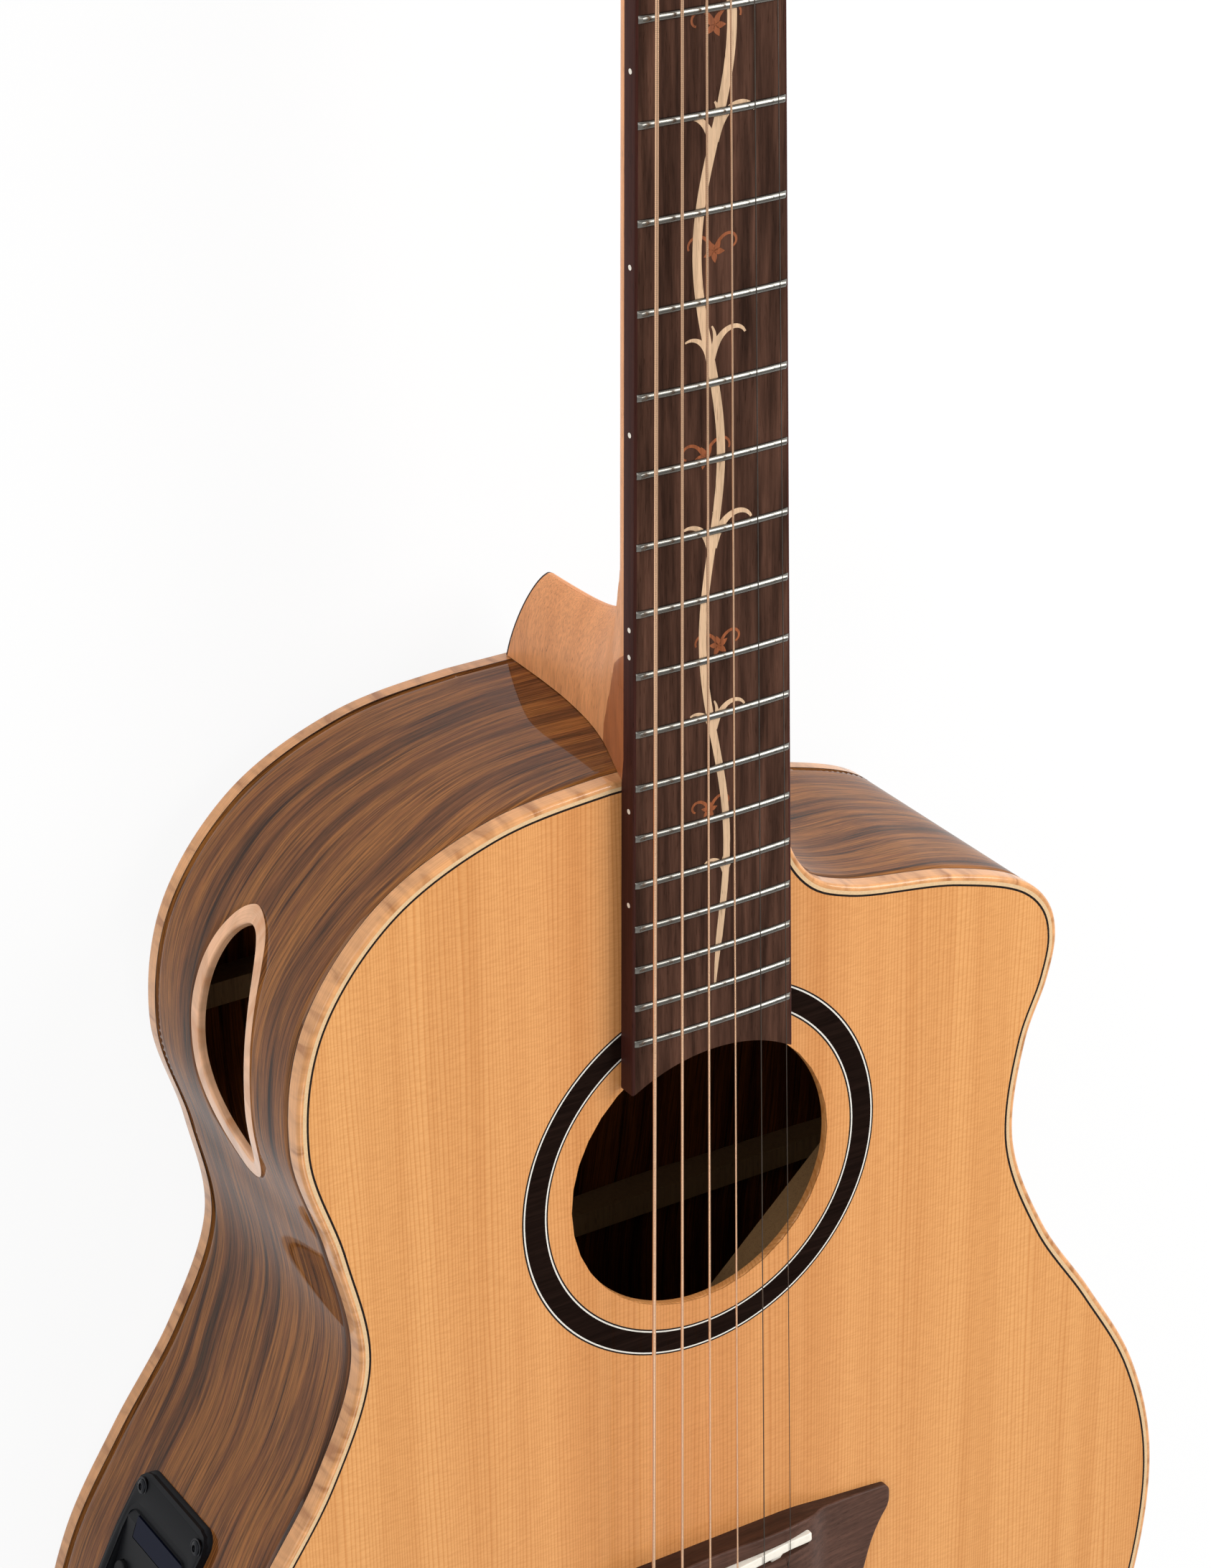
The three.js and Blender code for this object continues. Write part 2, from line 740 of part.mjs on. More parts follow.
function backBracing() {
  const bars = backBraceShares.map((share) => {
    const y = jointY - share * bodyLength;
    const top = edgeZ(y) - backDome + backThickness + backBraceHeight;
    return block(-lowerHalf, lowerHalf, y - braceWidth / 2, y + braceWidth / 2, lowestZ, top);
  });
  const strip = block(
    -backStripWidth / 2,
    backStripWidth / 2,
    tailY + sideThickness + tailBlockLength + 2 * seat,
    jointY - sideThickness - neckBlockLength - 2 * seat,
    lowestZ,
    bracketZ,
  );
  return joined(bars)
    .intersect(space)
    .add(strip.intersect(space.subtract(cavity(backStripThickness))))
    .subtract(backLiningKeepout);
}

// Neck: one carved piece of shaft, heel and headstock
// Depths are measured down from the soundboard's plane, and reach from the body towards the nut.
const heelHalfShares = [
  [0, 1], [0.145, 0.8], [0.27, 0.65], [0.395, 0.535], [0.515, 0.465], [0.61, 0.425], [0.715, 0.4], [1, 0.372],
];
const heelTop = shaftDepthAtHeel - neckRise;
const capDepth = (reach) => heelDepth - (heelCapRise * reach) / heelLength;

function heelHalf(reach, depth) {
  const sweep = heelLength + heelSweep * Math.exp(Math.min(heelTop - depth, 0) / heelSoftness);
  const share = Math.min(reach / sweep, 1);
  const half = (jointWidth / 2) * along(heelHalfShares, Math.max(depth, 0) / heelDepth);
  return half * (1 - share ** heelRoundness) ** (1 / heelRoundness);
}

function shaftHalf(y, depth, full) {
  const share = Math.min(depth / full, 1);
  return boardHalf(y) * (1 - share ** shaftRoundness) ** (1 / shaftRoundness);
}

// A section across the neck at one place along it, down to the given depth under the neck's top
function neckSection(y, full, shaftFull, sink) {
  const reach = y - neckFaceY;
  const left = [];
  const right = [];
  for (let k = 0; k <= sectionSteps; k += 1) {
    const depth = full * Math.sin((quarter * k) / sectionSteps);
    const half = Math.max(shaftHalf(y, depth, shaftFull), heelHalf(reach, depth - neckRise), keelHalf);
    const shown = Math.min(half, boardHalf(Math.min(y, 0)));
    left.push(new THREE.Vector3(-shown, y, neckRise - depth - sink));
    right.push(new THREE.Vector3(shown, y, neckRise - depth - sink));
  }
  return [...left, ...right.reverse()];
}

const heelSweepShares = [1, 0.6, 0.35, 0.2, 0.11, 0.055, 0.025, 0.01, 0.003, 0.0006];
const heelLengthShares = [1, 0.93, 0.8, 0.6, 0.35, 0];
const shaftShares = [0, 0.25, 0.5, 0.72];
const headRootShares = [1, 0.5];

const headPlace = shift(0, nutThickness, neckRise)
  .multiply(new THREE.Matrix4().makeRotationX(-radians(headAngle)));

function headstock() {
  const half = headWidth / 2;
  const halfShares = [[0.62, 0], [0.66, 0.07], [0.85, 0.15], [0.9, 0.25], [0.94, 0.6], [1, 0.94]];
  const tipShares = [[0.93, 0.985], [0.5, 0.985], [0, 1]];
  const place = (side) => ([across, along]) => new THREE.Vector2(side * across * half, along * headLength);
  const right = [...halfShares, ...tipShares].map(place(1));
  const left = [...halfShares, ...tipShares.slice(0, 2)].map(place(-1)).reverse();
  return moved(plate([...right, ...left], -headThickness, 0), headPlace);
}

function shaftDepth(y) {
  return lerp(shaftDepthAtNut, shaftDepthAtHeel, Math.max(Math.min(y / jointY, 1), 0));
}

function neckCore() {
  const rootLength = headThickness;
  const rings = headRootShares.map((share) => {
    const y = nutThickness + rootLength * share;
    const sink = (y - nutThickness) * Math.tan(radians(headAngle)) + seat;
    return neckSection(y, shaftDepthAtNut - sink * share, shaftDepthAtNut, sink);
  });
  rings.push(neckSection(nutThickness, shaftDepthAtNut, shaftDepthAtNut, 0));
  shaftShares.forEach((share) => {
    const y = jointY * share;
    rings.push(neckSection(y, shaftDepth(y), shaftDepth(y), 0));
  });
  heelSweepShares.forEach((share) => {
    const reach = heelLength + heelSweep * share;
    const y = neckFaceY + reach;
    const curved = shaftDepthAtHeel - heelSoftness * Math.log(share);
    const limit = capDepth(heelLength) - heelCapThickness - seat + neckRise;
    rings.push(neckSection(y, Math.min(curved, limit), shaftDepth(y), 0));
  });
  heelLengthShares.forEach((share) => {
    const reach = heelLength * share;
    const y = neckFaceY + reach;
    const full = capDepth(reach) - heelCapThickness - seat + neckRise;
    rings.push(neckSection(y, full, shaftDepth(y), 0));
  });
  return loft(rings);
}

// Posts stand in two rows on the headstock; rows count from the nut
const postRow = (i) => Math.min(i, stringCount - 1 - i);
const postSide = (i) => Math.sign(stringPlace(i));
const postX = (i) => postSide(i) * (firstPostOut + postOutStep * postRow(i));
const postY = (i) => firstPostFromNut - nutThickness + postPitch * postRow(i);

function bushingHole(i) {
  const rod = roundRod(bushingRadius + seat, -headThickness - overrun, overrun);
  return moved(rod, headPlace.clone().multiply(shift(postX(i), postY(i), 0)).multiply(upright));
}

// Strap button on the heel's treble flank, square to its surface
function strapButtonFrame() {
  const at = (reach, depth) => new THREE.Vector3(heelHalf(reach, depth), neckFaceY + reach, -depth);
  const centre = at(buttonFromJoint, buttonDepth);
  const along = at(buttonFromJoint + seat, buttonDepth).sub(centre);
  const down = at(buttonFromJoint, buttonDepth + seat).sub(centre);
  const outward = new THREE.Vector3().crossVectors(down, along).normalize();
  const frame = new THREE.Group();
  frame.position.copy(centre);
  frame.quaternion.setFromUnitVectors(new THREE.Vector3(0, 1, 0), outward);
  frame.updateMatrix();
  return frame;
}

const strapButton = strapButtonFrame();

function neck() {
  const spot = roundRod(buttonRadius + seat, -seat, buttonHeight);
  const screw = roundRod(buttonScrewRadius + seat, -buttonScrewLength - 2 * seat, 0);
  const channelHalf = rodRadius + runningGap;
  const channelLow = -rodDepth - channelHalf;
  const channel = block(-channelHalf, channelHalf, neckFaceY - overrun, -nutThickness, channelLow, overrun);
  return neckCore()
    .add(headstock())
    .subtract(joined(stringRadii.map((_, i) => bushingHole(i))))
    .subtract(channel)
    .subtract(moved(spot.add(screw), strapButton.matrix));
}

function heelCap() {
  const last = 0.995;
  const rings = [...heelLengthShares.map((share) => share * last)].map((share) => {
    const reach = heelLength * share;
    const low = capDepth(reach);
    const high = low - heelCapThickness;
    const y = neckFaceY + reach;
    return [
      new THREE.Vector3(-heelHalf(reach, low), y, -low),
      new THREE.Vector3(heelHalf(reach, low), y, -low),
      new THREE.Vector3(heelHalf(reach, high), y, -high),
      new THREE.Vector3(-heelHalf(reach, high), y, -high),
    ];
  });
  return loft(rings);
}

function trussRod() {
  const nutEnd = rodNutY - rodNutLength;
  const rod = turned([
    [0, nutEnd],
    [rodNutRadius, nutEnd],
    [rodNutRadius, rodNutY],
    [rodRadius, rodNutY],
    [rodRadius, -nutThickness - seat],
    [0, -nutThickness - seat],
  ], stringSides);
  return moved(rod, rodAxis);
}

// Fretboard with its frets: each fret is pressed into the board and is one body with it.
// Over the body a pad under the board fills the height that the neck has there.
function fretboard() {
  const ring = (y) => {
    const half = boardHalf(y);
    const points = [new THREE.Vector3(-half, y, boardBottom), new THREE.Vector3(half, y, boardBottom)];
    for (let k = 0; k <= crownFacets; k += 1) {
      const x = half * (1 - (2 * k) / crownFacets);
      points.push(new THREE.Vector3(x, y, boardTop(x)));
    }
    return points;
  };
  const padHalf = boardHalf(jointY);
  const pad = block(-padHalf, padHalf, boardEndY, jointY, seat, boardBottom + seat);
  const board = loft([ring(-seat), ring(boardEndY)]).add(pad);
  const endCut = moved(roundRod(soundholeRadius, -overrun, boardTopCentre + overrun, holeFacets), upright);
  const placedCut = moved(endCut, shift(0, -soundholeFromNut, 0));
  const frets = Array.from({ length: fretCount }, (_, i) => fret(i + 1));
  return joined([board.subtract(placedCut), ...frets]);
}

function fret(n) {
  const y = fretPlace(n);
  const half = boardHalf(y) - fretInset;
  const crownShare = 0.55;
  const rings = [];
  for (let k = 0; k <= crownFacets; k += 1) {
    const x = half * (1 - (2 * k) / crownFacets);
    const top = boardTop(x);
    rings.push([
      new THREE.Vector3(x, y - fretWidth / 2, top - fretTang),
      new THREE.Vector3(x, y - (fretWidth / 2) * crownShare, top + fretHeight),
      new THREE.Vector3(x, y + (fretWidth / 2) * crownShare, top + fretHeight),
      new THREE.Vector3(x, y + fretWidth / 2, top - fretTang),
    ]);
  }
  return loft(rings);
}

function nut() {
  const rings = [];
  for (let k = 0; k <= crownFacets; k += 1) {
    const x = (nutWidth / 2) * ((2 * k) / crownFacets - 1);
    const top = boardTop(x) + fretHeight + nutStand;
    rings.push([
      new THREE.Vector3(x, 0, boardBottom),
      new THREE.Vector3(x, nutThickness, boardBottom),
      new THREE.Vector3(x, nutThickness, top - nutStand),
      new THREE.Vector3(x, 0, top),
    ]);
  }
  const slots = stringRadii.map((radius, i) => {
    const place = stringPlace(i);
    const half = radius + slotClearance;
    const x = nutX(place);
    const low = nutBottom(place) - slotClearance;
    return block(x - half, x + half, -overrun, nutThickness + overrun, low, low + overrun);
  });
  return loft(rings).subtract(joined(slots));
}

// Bridge: a thick middle with two dished wings, in shares of its half length, height and width
const bridgeHeightShares = [[0, 1], [0.4, 0.99], [0.48, 0.84], [0.58, 0.52], [0.685, 0.43], [0.83, 0.33], [1, 0.24]];
const bridgeFrontShares = [[0, 0], [0.38, 0], [0.55, 0.05], [0.72, 0.066], [0.86, 0.08], [0.96, 0.1], [1, 0.2]];
const bridgeBackShares = [
  [0, 1], [0.7, 0.985], [0.8, 0.97], [0.844, 0.9], [0.859, 0.805], [0.885, 0.65], [0.919, 0.51],
  [0.951, 0.41], [0.982, 0.33], [1, 0.25],
];

const bridgeStationShares = [
  0, 0.38, 0.44, 0.48, 0.53, 0.58, 0.63, 0.685, 0.76, 0.8, 0.844, 0.859, 0.885, 0.919, 0.951, 0.982, 1,
];
const bridgeTopZ = seat + bridgeHeight;

function bridge() {
  const stations = [...bridgeStationShares.slice(1).reverse().map((share) => -share), ...bridgeStationShares];
  const rings = stations.map((share) => {
    const at = Math.abs(share);
    const x = share * bridgeHalfLength;
    const top = seat + bridgeHeight * along(bridgeHeightShares, at);
    const front = -bridgeFrontFromNut - bridgeWidth * along(bridgeFrontShares, at);
    const rear = -bridgeFrontFromNut - bridgeWidth * along(bridgeBackShares, at);
    const round = Math.min(bridgeEdgeRound, (front - rear) / 4);
    return [
      new THREE.Vector3(x, front, seat),
      new THREE.Vector3(x, front, top - round),
      new THREE.Vector3(x, front - round, top),
      new THREE.Vector3(x, rear + round, top),
      new THREE.Vector3(x, rear, top - round),
      new THREE.Vector3(x, rear, seat),
    ];
  });
  const slotHalf = saddleLength / 2 + seat;
  const slotSide = saddleThickness / 2 + seat;
  const slot = block(-slotHalf, slotHalf, -slotSide, slotSide, bridgeTopZ - saddleSlotDepth, bridgeTopZ + overrun);
  const holes = joined(pinHoles.map((hole) => plate(hole, 0, bridgeTopZ + overrun)));
  return loft(rings).subtract(moved(slot, saddlePlace())).subtract(holes);
}

function saddlePlace() {
  return shift(0, -saddleFromNut, 0).multiply(new THREE.Matrix4().makeRotationZ(radians(saddleSlant)));
}

function saddle() {
  const low = bridgeTopZ - saddleSlotDepth + 2 * seat + pickupThickness;
  const rings = [];
  for (let k = 0; k <= 2 * crownFacets; k += 1) {
    const x = (saddleLength / 2) * (k / crownFacets - 1);
    const top = saddleBottom(x / saddleX(1)) - seat;
    const half = saddleThickness / 2;
    rings.push([
      new THREE.Vector3(x, half, low),
      new THREE.Vector3(x, half, top - half),
      new THREE.Vector3(x, saddleCrown, top),
      new THREE.Vector3(x, -saddleCrown, top),
      new THREE.Vector3(x, -half, top - half),
      new THREE.Vector3(x, -half, low),
    ]);
  }
  return moved(loft(rings), saddlePlace());
}

function pickup() {
  const low = bridgeTopZ - saddleSlotDepth + seat;
  const half = saddleThickness / 2;
  const strip = block(-saddleLength / 2, saddleLength / 2, -half, half, low, low + pickupThickness);
  return moved(strip, saddlePlace());
}

function bridgePin(i) {
  const under = bridgeTopZ + seat;
  const pin = turned([
    [0, under - pinLength],
    [pinTipRadius, under - pinLength],
    [pinRadius, under],
    [pinHeadRadius, under],
    [pinHeadRadius, under + pinHeadHeight / 3],
    [pinHeadRadius * 0.7, under + pinHeadHeight * 0.85],
    [0, under + pinHeadHeight],
  ]);
  return moved(pin, shift(saddleX(stringPlace(i)), pinY, 0).multiply(upright));
}

// A tube of flat facets along a path, its rings square to the path's bends
function strand(points, radius) {
  const rings = points.map((point, i) => {
    const ahead = points[Math.min(i + 1, points.length - 1)];
    const behind = points[Math.max(i - 1, 0)];
    const into = point.clone().sub(behind).normalize();
    const out = ahead.clone().sub(point).normalize();
    const way = into.clone().add(out).normalize();
    const stretch = 1 / Math.max(way.dot(i === 0 ? out : into), 0.5);
    return { point, way, into, out, stretch };
  });
  let side = new THREE.Vector3(1, 0, 0);
  return loft(rings.map(({ point, way, into, out, stretch }) => {
    side = side.clone().addScaledVector(way, -side.dot(way)).normalize();
    const up = new THREE.Vector3().crossVectors(way, side);
    const bend = out.clone().sub(into);
    const bent = bend.lengthSq() > weldTolerance;
    if (bent) bend.normalize();
    return Array.from({ length: stringSides }, (_, k) => {
      const angle = (2 * Math.PI * k) / stringSides;
      const offset = side.clone().multiplyScalar(Math.cos(angle)).addScaledVector(up, Math.sin(angle));
      if (bent) offset.addScaledVector(bend, offset.dot(bend) * (stretch - 1));
      return point.clone().addScaledVector(offset, radius);
    });
  }));
}

// The turns of a string round its post, from the tangent point down the post
function wraps(i) {
  const radius = stringRadii[i];
  const ring = postWaistRadius + runningGap + radius;
  const toHead = headPlace.clone().invert();
  const from = new THREE.Vector3(nutX(stringPlace(i)), nutThickness, nutBottom(stringPlace(i)) + radius);
  from.applyMatrix4(toHead);
  const away = new THREE.Vector2(from.x - postX(i), from.y - postY(i));
  const turn = -postSide(i);
  const start = away.angle() + turn * Math.acos(ring / away.length());
  const high = postWaistHigh - radius - wrapGap;
  const drop = 2 * radius + wrapGap;
  const points = [];
  for (let k = 0; k <= wrapTurns * wrapSteps; k += 1) {
    const angle = start + (turn * 2 * Math.PI * k) / wrapSteps;
    const height = high - (drop * k) / wrapSteps;
    points.push(new THREE.Vector3(
      postX(i) + ring * Math.cos(angle),
      postY(i) + ring * Math.sin(angle),
      height,
    ).applyMatrix4(headPlace));
  }
  return points;
}

function stringPath(i) {
  const place = stringPlace(i);
  const radius = stringRadii[i];
  const x = saddleX(place);
  const dropY = stringDropY(radius);
  const ballZ = bracketZ - bridgePlateThickness - seat - ballRadius;
  const saddleY = -saddleFromNut + x * Math.tan(radians(saddleSlant));
  const nutZ = nutBottom(place) + radius;
  return [
    new THREE.Vector3(x, dropY, ballZ),
    new THREE.Vector3(x, dropY, bridgeTopZ + radius),
    new THREE.Vector3(x, saddleY, saddleBottom(place) + radius),
    new THREE.Vector3(nutX(place), 0, nutZ),
    new THREE.Vector3(nutX(place), nutThickness, nutZ),
    ...wraps(i),
  ];
}

function stringBody(i) {
  const path = stringPath(i);
  const ball = roundRod(ballRadius, -ballLength / 2, ballLength / 2, stringSides);
  const place = shift(path[0].x, path[0].y, path[0].z).multiply(sideways);
  return strand(path, stringRadii[i]).add(moved(ball, place));
}

// The least gap between one turn of a string's wraps and the next
function leastGap(i) {
  const points = wraps(i);
  let least = Infinity;
  for (let a = 0; a < points.length; a += 1) {
    for (let b = a + wrapSteps / 2; b < points.length; b += 1) {
      least = Math.min(least, points[a].distanceTo(points[b]));
    }
  }
  return least - 2 * stringRadii[i];
}

// Machine head pieces, drawn round their own post: X outwards, Y along the headstock, Z out of its face
function gearbox() {
  const low = -headThickness - seat - gearboxDepth;
  const box = plate(roundedBox(gearboxWidth / 2, gearboxLength / 2, gearboxCorner), low, -headThickness - seat);
  const tube = moved(roundRod(bushingRadius, -headThickness - 2 * seat, seat + washerThickness / 2), upright);
  const washer = moved(roundRod(washerRadius, seat, seat + washerThickness), upright);
  const postBore = roundRod(postRadius + runningGap, -headThickness - postSink - runningGap, overrun);
  const shaftEnd = gearboxOutset + gearboxWidth / 2;
  const bore = roundRod(buttonShaftRadius + runningGap, shaftEnd - buttonShaftSink - runningGap, shaftEnd + overrun);
  const shaftPlace = shift(0, 0, low + gearboxDepth / 2).multiply(sideways);
  return moved(box, shift(gearboxOutset, 0, 0))
    .add(tube)
    .add(washer)
    .subtract(moved(postBore, upright))
    .subtract(moved(bore, shaftPlace));
}

function post() {
  const rod = turned([
    [0, -headThickness - postSink],
    [postRadius, -headThickness - postSink],
    [postRadius, postWaistLow],
    [postWaistRadius, postWaistLow + seat],
    [postWaistRadius, postWaistHigh - seat],
    [postRadius, postWaistHigh],
    [postRadius, postHeight],
    [0, postHeight],
  ]);
  return moved(rod, upright);
}

const knobProfileShares = [[0.4, 0], [0.95, 0.2], [1, 0.6], [0.5, 1]];

function tunerButton() {
  const start = gearboxOutset + gearboxWidth / 2 - buttonShaftSink;
  const knobStart = start + buttonShaftSink + buttonShaftLength;
  const shaft = roundRod(buttonShaftRadius, start, knobStart + knobLength / 2);
  const knob = turned([
    [0, knobStart],
    ...knobProfileShares.map(([out, up]) => [knobRadius * out, knobStart + knobLength * up]),
    [0, knobStart + knobLength],
  ]);
  const flat = new THREE.Matrix4().makeScale(1, 1, knobFlatness);
  return moved(shaft.add(moved(knob, flat)), sideways);
}

const shaftDrop = -headThickness - seat - gearboxDepth / 2;

// Preamp pieces, in the preamp's frame
const panelX = (fromEnd) => fromEnd - preampLength / 2;
const windowX = panelX(windowFromEnd);
const pushX = panelX(pushFromEnd);
const volumeX = panelX(volumeFromEnd);
const trayX = panelX(trayFromEnd);

// A box in the preamp's frame, given by its middle and halves across the panel
function panelBlock(x, z, halfX, halfZ, near, far) {
  return block(x - halfX, x + halfX, near, far, z - halfZ, z + halfZ);
}

function panelRod(x, z, radius, near, far) {
  return moved(roundRod(radius, near, far), shift(x, 0, z));
}

function preampHousing() {
  const wall = moved(band(-seat - preampPlate, -seat, () => 0, () => lowestZ), toPreamp);
  const outside = moved(band(-overrun * 2, -seat - preampPlate / 2, () => 0, () => lowestZ), toPreamp);
  const flange = preampPrism(preampLength / 2, preampHeight / 2, preampCorner, -overrun * 2, overrun * 2);
  const panelHalf = preampPanelLength / 2;
  const panelRise = preampPanelHeight / 2;
  const cup = trayFaceWidth / 2 + trayWall;
  const controls = panelBlock(0, 0, panelHalf, panelRise, -overrun, controlDepth);
  const batteryBox = panelBlock(trayX, 0, cup, trayFaceHeight / 2 + trayWall, 0, batteryBoxDepth);
  const recess = preampPrism(panelHalf - trayWall, panelRise - trayWall, trayWall, -overrun * 2, preampPanelSink);
  const windowPocket = panelBlock(
    windowX, windowLift, windowWidth / 2 + seat, windowLength / 2 + seat,
    0, preampPanelSink + windowThickness + seat,
  );
  const pushEnd = preampPanelSink - pushStand + pushLength + pushTravel + runningGap;
  const volumeEnd = preampPanelSink + volumeShaftLength + runningGap;
  const binHalfX = batteryWidth / 2 + seat + trayWall + runningGap;
  const binHalfZ = batteryHeight / 2 + seat + trayWall + runningGap;
  const binEnd = preampPanelSink + batteryLength + 2 * seat + trayWall + runningGap;
  return wall.intersect(flange)
    .add(joined([controls, batteryBox]).subtract(outside))
    .subtract(recess)
    .subtract(windowPocket)
    .subtract(panelRod(pushX, -pushDrop, pushRadius + runningGap, 0, pushEnd))
    .subtract(panelRod(volumeX, volumeRise, volumeShaftRadius + runningGap, 0, volumeEnd))
    .subtract(panelBlock(trayX, 0, binHalfX, binHalfZ, 0, binEnd));
}

function preampWindow() {
  const near = preampPanelSink;
  return panelBlock(windowX, windowLift, windowWidth / 2, windowLength / 2, near, near + windowThickness);
}

function pushButton() {
  const near = preampPanelSink - pushStand;
  return panelRod(pushX, -pushDrop, pushRadius, near, near + pushLength);
}

function volumeKnob() {
  const face = preampPanelSink - runningGap;
  const knob = panelRod(volumeX, volumeRise, volumeRadius, face - volumeHeight, face);
  return knob.add(panelRod(volumeX, volumeRise, volumeShaftRadius, face - overrun / 2, face + volumeShaftLength));
}

// An open bin behind a flat face; the battery lies in it and comes out over its low wall
function batteryTray() {
  const faceFar = preampPanelSink - runningGap;
  const halfX = batteryWidth / 2 + seat;
  const halfZ = batteryHeight / 2 + seat;
  const far = preampPanelSink + batteryLength + 2 * seat + trayWall;
  const face = panelBlock(trayX, 0, trayFaceWidth / 2, trayFaceHeight / 2, faceFar - trayFaceThickness, faceFar);
  const bin = panelBlock(trayX, 0, halfX + trayWall, halfZ + trayWall, faceFar - trayFaceThickness / 2, far);
  const well = panelBlock(trayX, trayWall, halfX, halfZ + trayWall, preampPanelSink, far - trayWall);
  return face.add(bin).subtract(well);
}

function battery() {
  const near = preampPanelSink + seat;
  return panelBlock(trayX, 0, batteryWidth / 2, batteryHeight / 2, near, near + batteryLength);
}

function endpinJack() {
  const face = tailY - seat;
  const inside = tailY + sideThickness + 2 * seat + tailBlockLength;
  const outer = face - jackStand;
  const jack = turned([
    [0, outer + jackBoreDepth],
    [jackBoreRadius, outer + jackBoreDepth],
    [jackBoreRadius, outer],
    [jackHeadRadius, outer],
    [jackHeadRadius, outer + jackHeadThickness],
    [jackWaistRadius, outer + jackHeadThickness * 2],
    [jackFlangeRadius, face - jackFlangeThickness],
    [jackFlangeRadius, face],
    [jackSleeveRadius, face],
    [jackSleeveRadius, inside],
    [jackNutRadius, inside],
    [jackNutRadius, inside + jackNutThickness],
    [jackSleeveRadius, inside + jackNutThickness],
    [jackSleeveRadius, inside + jackNutThickness * 2],
    [0, inside + jackNutThickness * 2],
  ]);
  return moved(jack, jackPlace);
}

function strapButtonBody() {
  return turned([
    [0, -buttonScrewLength],
    [buttonScrewRadius, -buttonScrewLength],
    [buttonScrewRadius, 0],
    [buttonRadius, 0],
    [buttonRadius, buttonRim / 2],
    [buttonWaistRadius, buttonRim * 2],
    [buttonWaistRadius, buttonHeight - buttonRim * 2],
    [buttonRadius, buttonHeight - buttonRim],
    [buttonRadius, buttonHeight],
    [0, buttonHeight],
  ]);
}

function soundportRing() {
  const wall = band(0, portRingThickness, () => 0, () => lowestZ);
  return wall.intersect(portPrism(portRingShares, 0)).subtract(portPrism(portHoleShares, 0));
}

// Body box
add(instrument, 'soundboard', soundboard(), spruce);
add(instrument, 'back', back(), rosewood);
add(instrument, 'side_bass', sideBass, rosewood);
add(instrument, 'side_treble', sideTreble, rosewood);
add(instrument, 'binding_top', band(0, bindingWidth, () => 0, () => -bindingHeight), maple);
add(instrument, 'binding_back', band(0, bindingWidth, (y) => edgeZ(y) + bindingHeight, edgeZ), maple);
add(instrument, 'lining_top', lining(0, true).subtract(rodBore), bracewood);
add(instrument, 'lining_back', lining(0, false), bracewood);
add(instrument, 'neck_block', neckBlock(), mahogany);
add(instrument, 'tail_block', tailBlock(), mahogany);
add(instrument, 'top_bracing', topBracing(), bracewood);
add(instrument, 'back_bracing', backBracing(), bracewood);
add(instrument, 'rosette', rosetteRing(0, -rosetteDepth, 0), darkwood);
add(instrument, 'soundport_ring', soundportRing(), maple);

// Neck
add(instrument, 'neck', neck(), mahogany);
add(instrument, 'heel_cap', heelCap(), darkwood);
add(instrument, 'fretboard', fretboard(), darkwood);
add(instrument, 'nut', nut(), bone);
add(instrument, 'truss_rod', trussRod(), steel);

// Bridge
add(instrument, 'bridge', bridge(), darkwood);
add(instrument, 'saddle', saddle(), bone);
add(instrument, 'pickup', pickup(), blackPlastic);

// Strings, pins and machine heads, numbered as players do: 6 is the thickest
const woundCount = 4;
const headFrame = new THREE.Group();
headFrame.applyMatrix4(headPlace);
instrument.add(headFrame);
stringRadii.forEach((_, i) => {
  const number = stringCount - i;
  add(instrument, `bridge_pin_${number}`, bridgePin(i), darkwood);
  add(instrument, `string_${number}`, stringBody(i), i < woundCount ? bronze : steel);
  const machineHead = new THREE.Group();
  machineHead.position.set(postX(i), postY(i), 0);
  machineHead.rotation.z = postSide(i) > 0 ? 0 : Math.PI;
  headFrame.add(machineHead);
  add(machineHead, `tuner_housing_${number}`, gearbox(), chrome);
  add(machineHead, `tuner_post_${number}`, post(), chrome);
  const button = add(machineHead, `tuner_button_${number}`, tunerButton(), chrome);
  button.position.set(0, 0, shaftDrop);
});

// Electrics
instrument.add(preamp);
add(preamp, 'preamp_housing', preampHousing(), blackPlastic);
add(preamp, 'preamp_window', preampWindow(), display);
add(preamp, 'preamp_push_button', pushButton(), blackPlastic);
add(preamp, 'volume_knob', volumeKnob(), blackPlastic);
add(preamp, 'battery_tray', batteryTray(), blackPlastic);
add(preamp, 'battery', battery(), batteryCase);
add(instrument, 'endpin_jack', endpinJack(), chrome);
instrument.add(strapButton);
add(strapButton, 'strap_button', strapButtonBody(), chrome);

// Place the guitar with the origin under the middle of its length
instrument.updateMatrixWorld(true);
const bounds = new THREE.Box3().setFromObject(instrument, true);
instrument.position.set(0, -(bounds.min.y + bounds.max.y) / 2, -bounds.min.z);
guitar.updateMatrixWorld(true);

const gaps = stringRadii.map((_, i) => leastGap(i).toFixed(2));
console.log(`least gap between a string's turns, thickest string first: ${gaps.join(', ')} mm`);

export default guitar;
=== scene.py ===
"""Acoustic-electric guitar with a round cutaway: the look of each piece, laid over the packed frame.

Lengths are in metres. Shapes are drawn from the nut on the soundboard's plane: x across towards the thin
strings, y towards the headstock, z up. piece() moves them into the frame's own coordinates.
"""

import json

import bmesh
import bpy
import numpy as np
from mathutils import Matrix, Vector

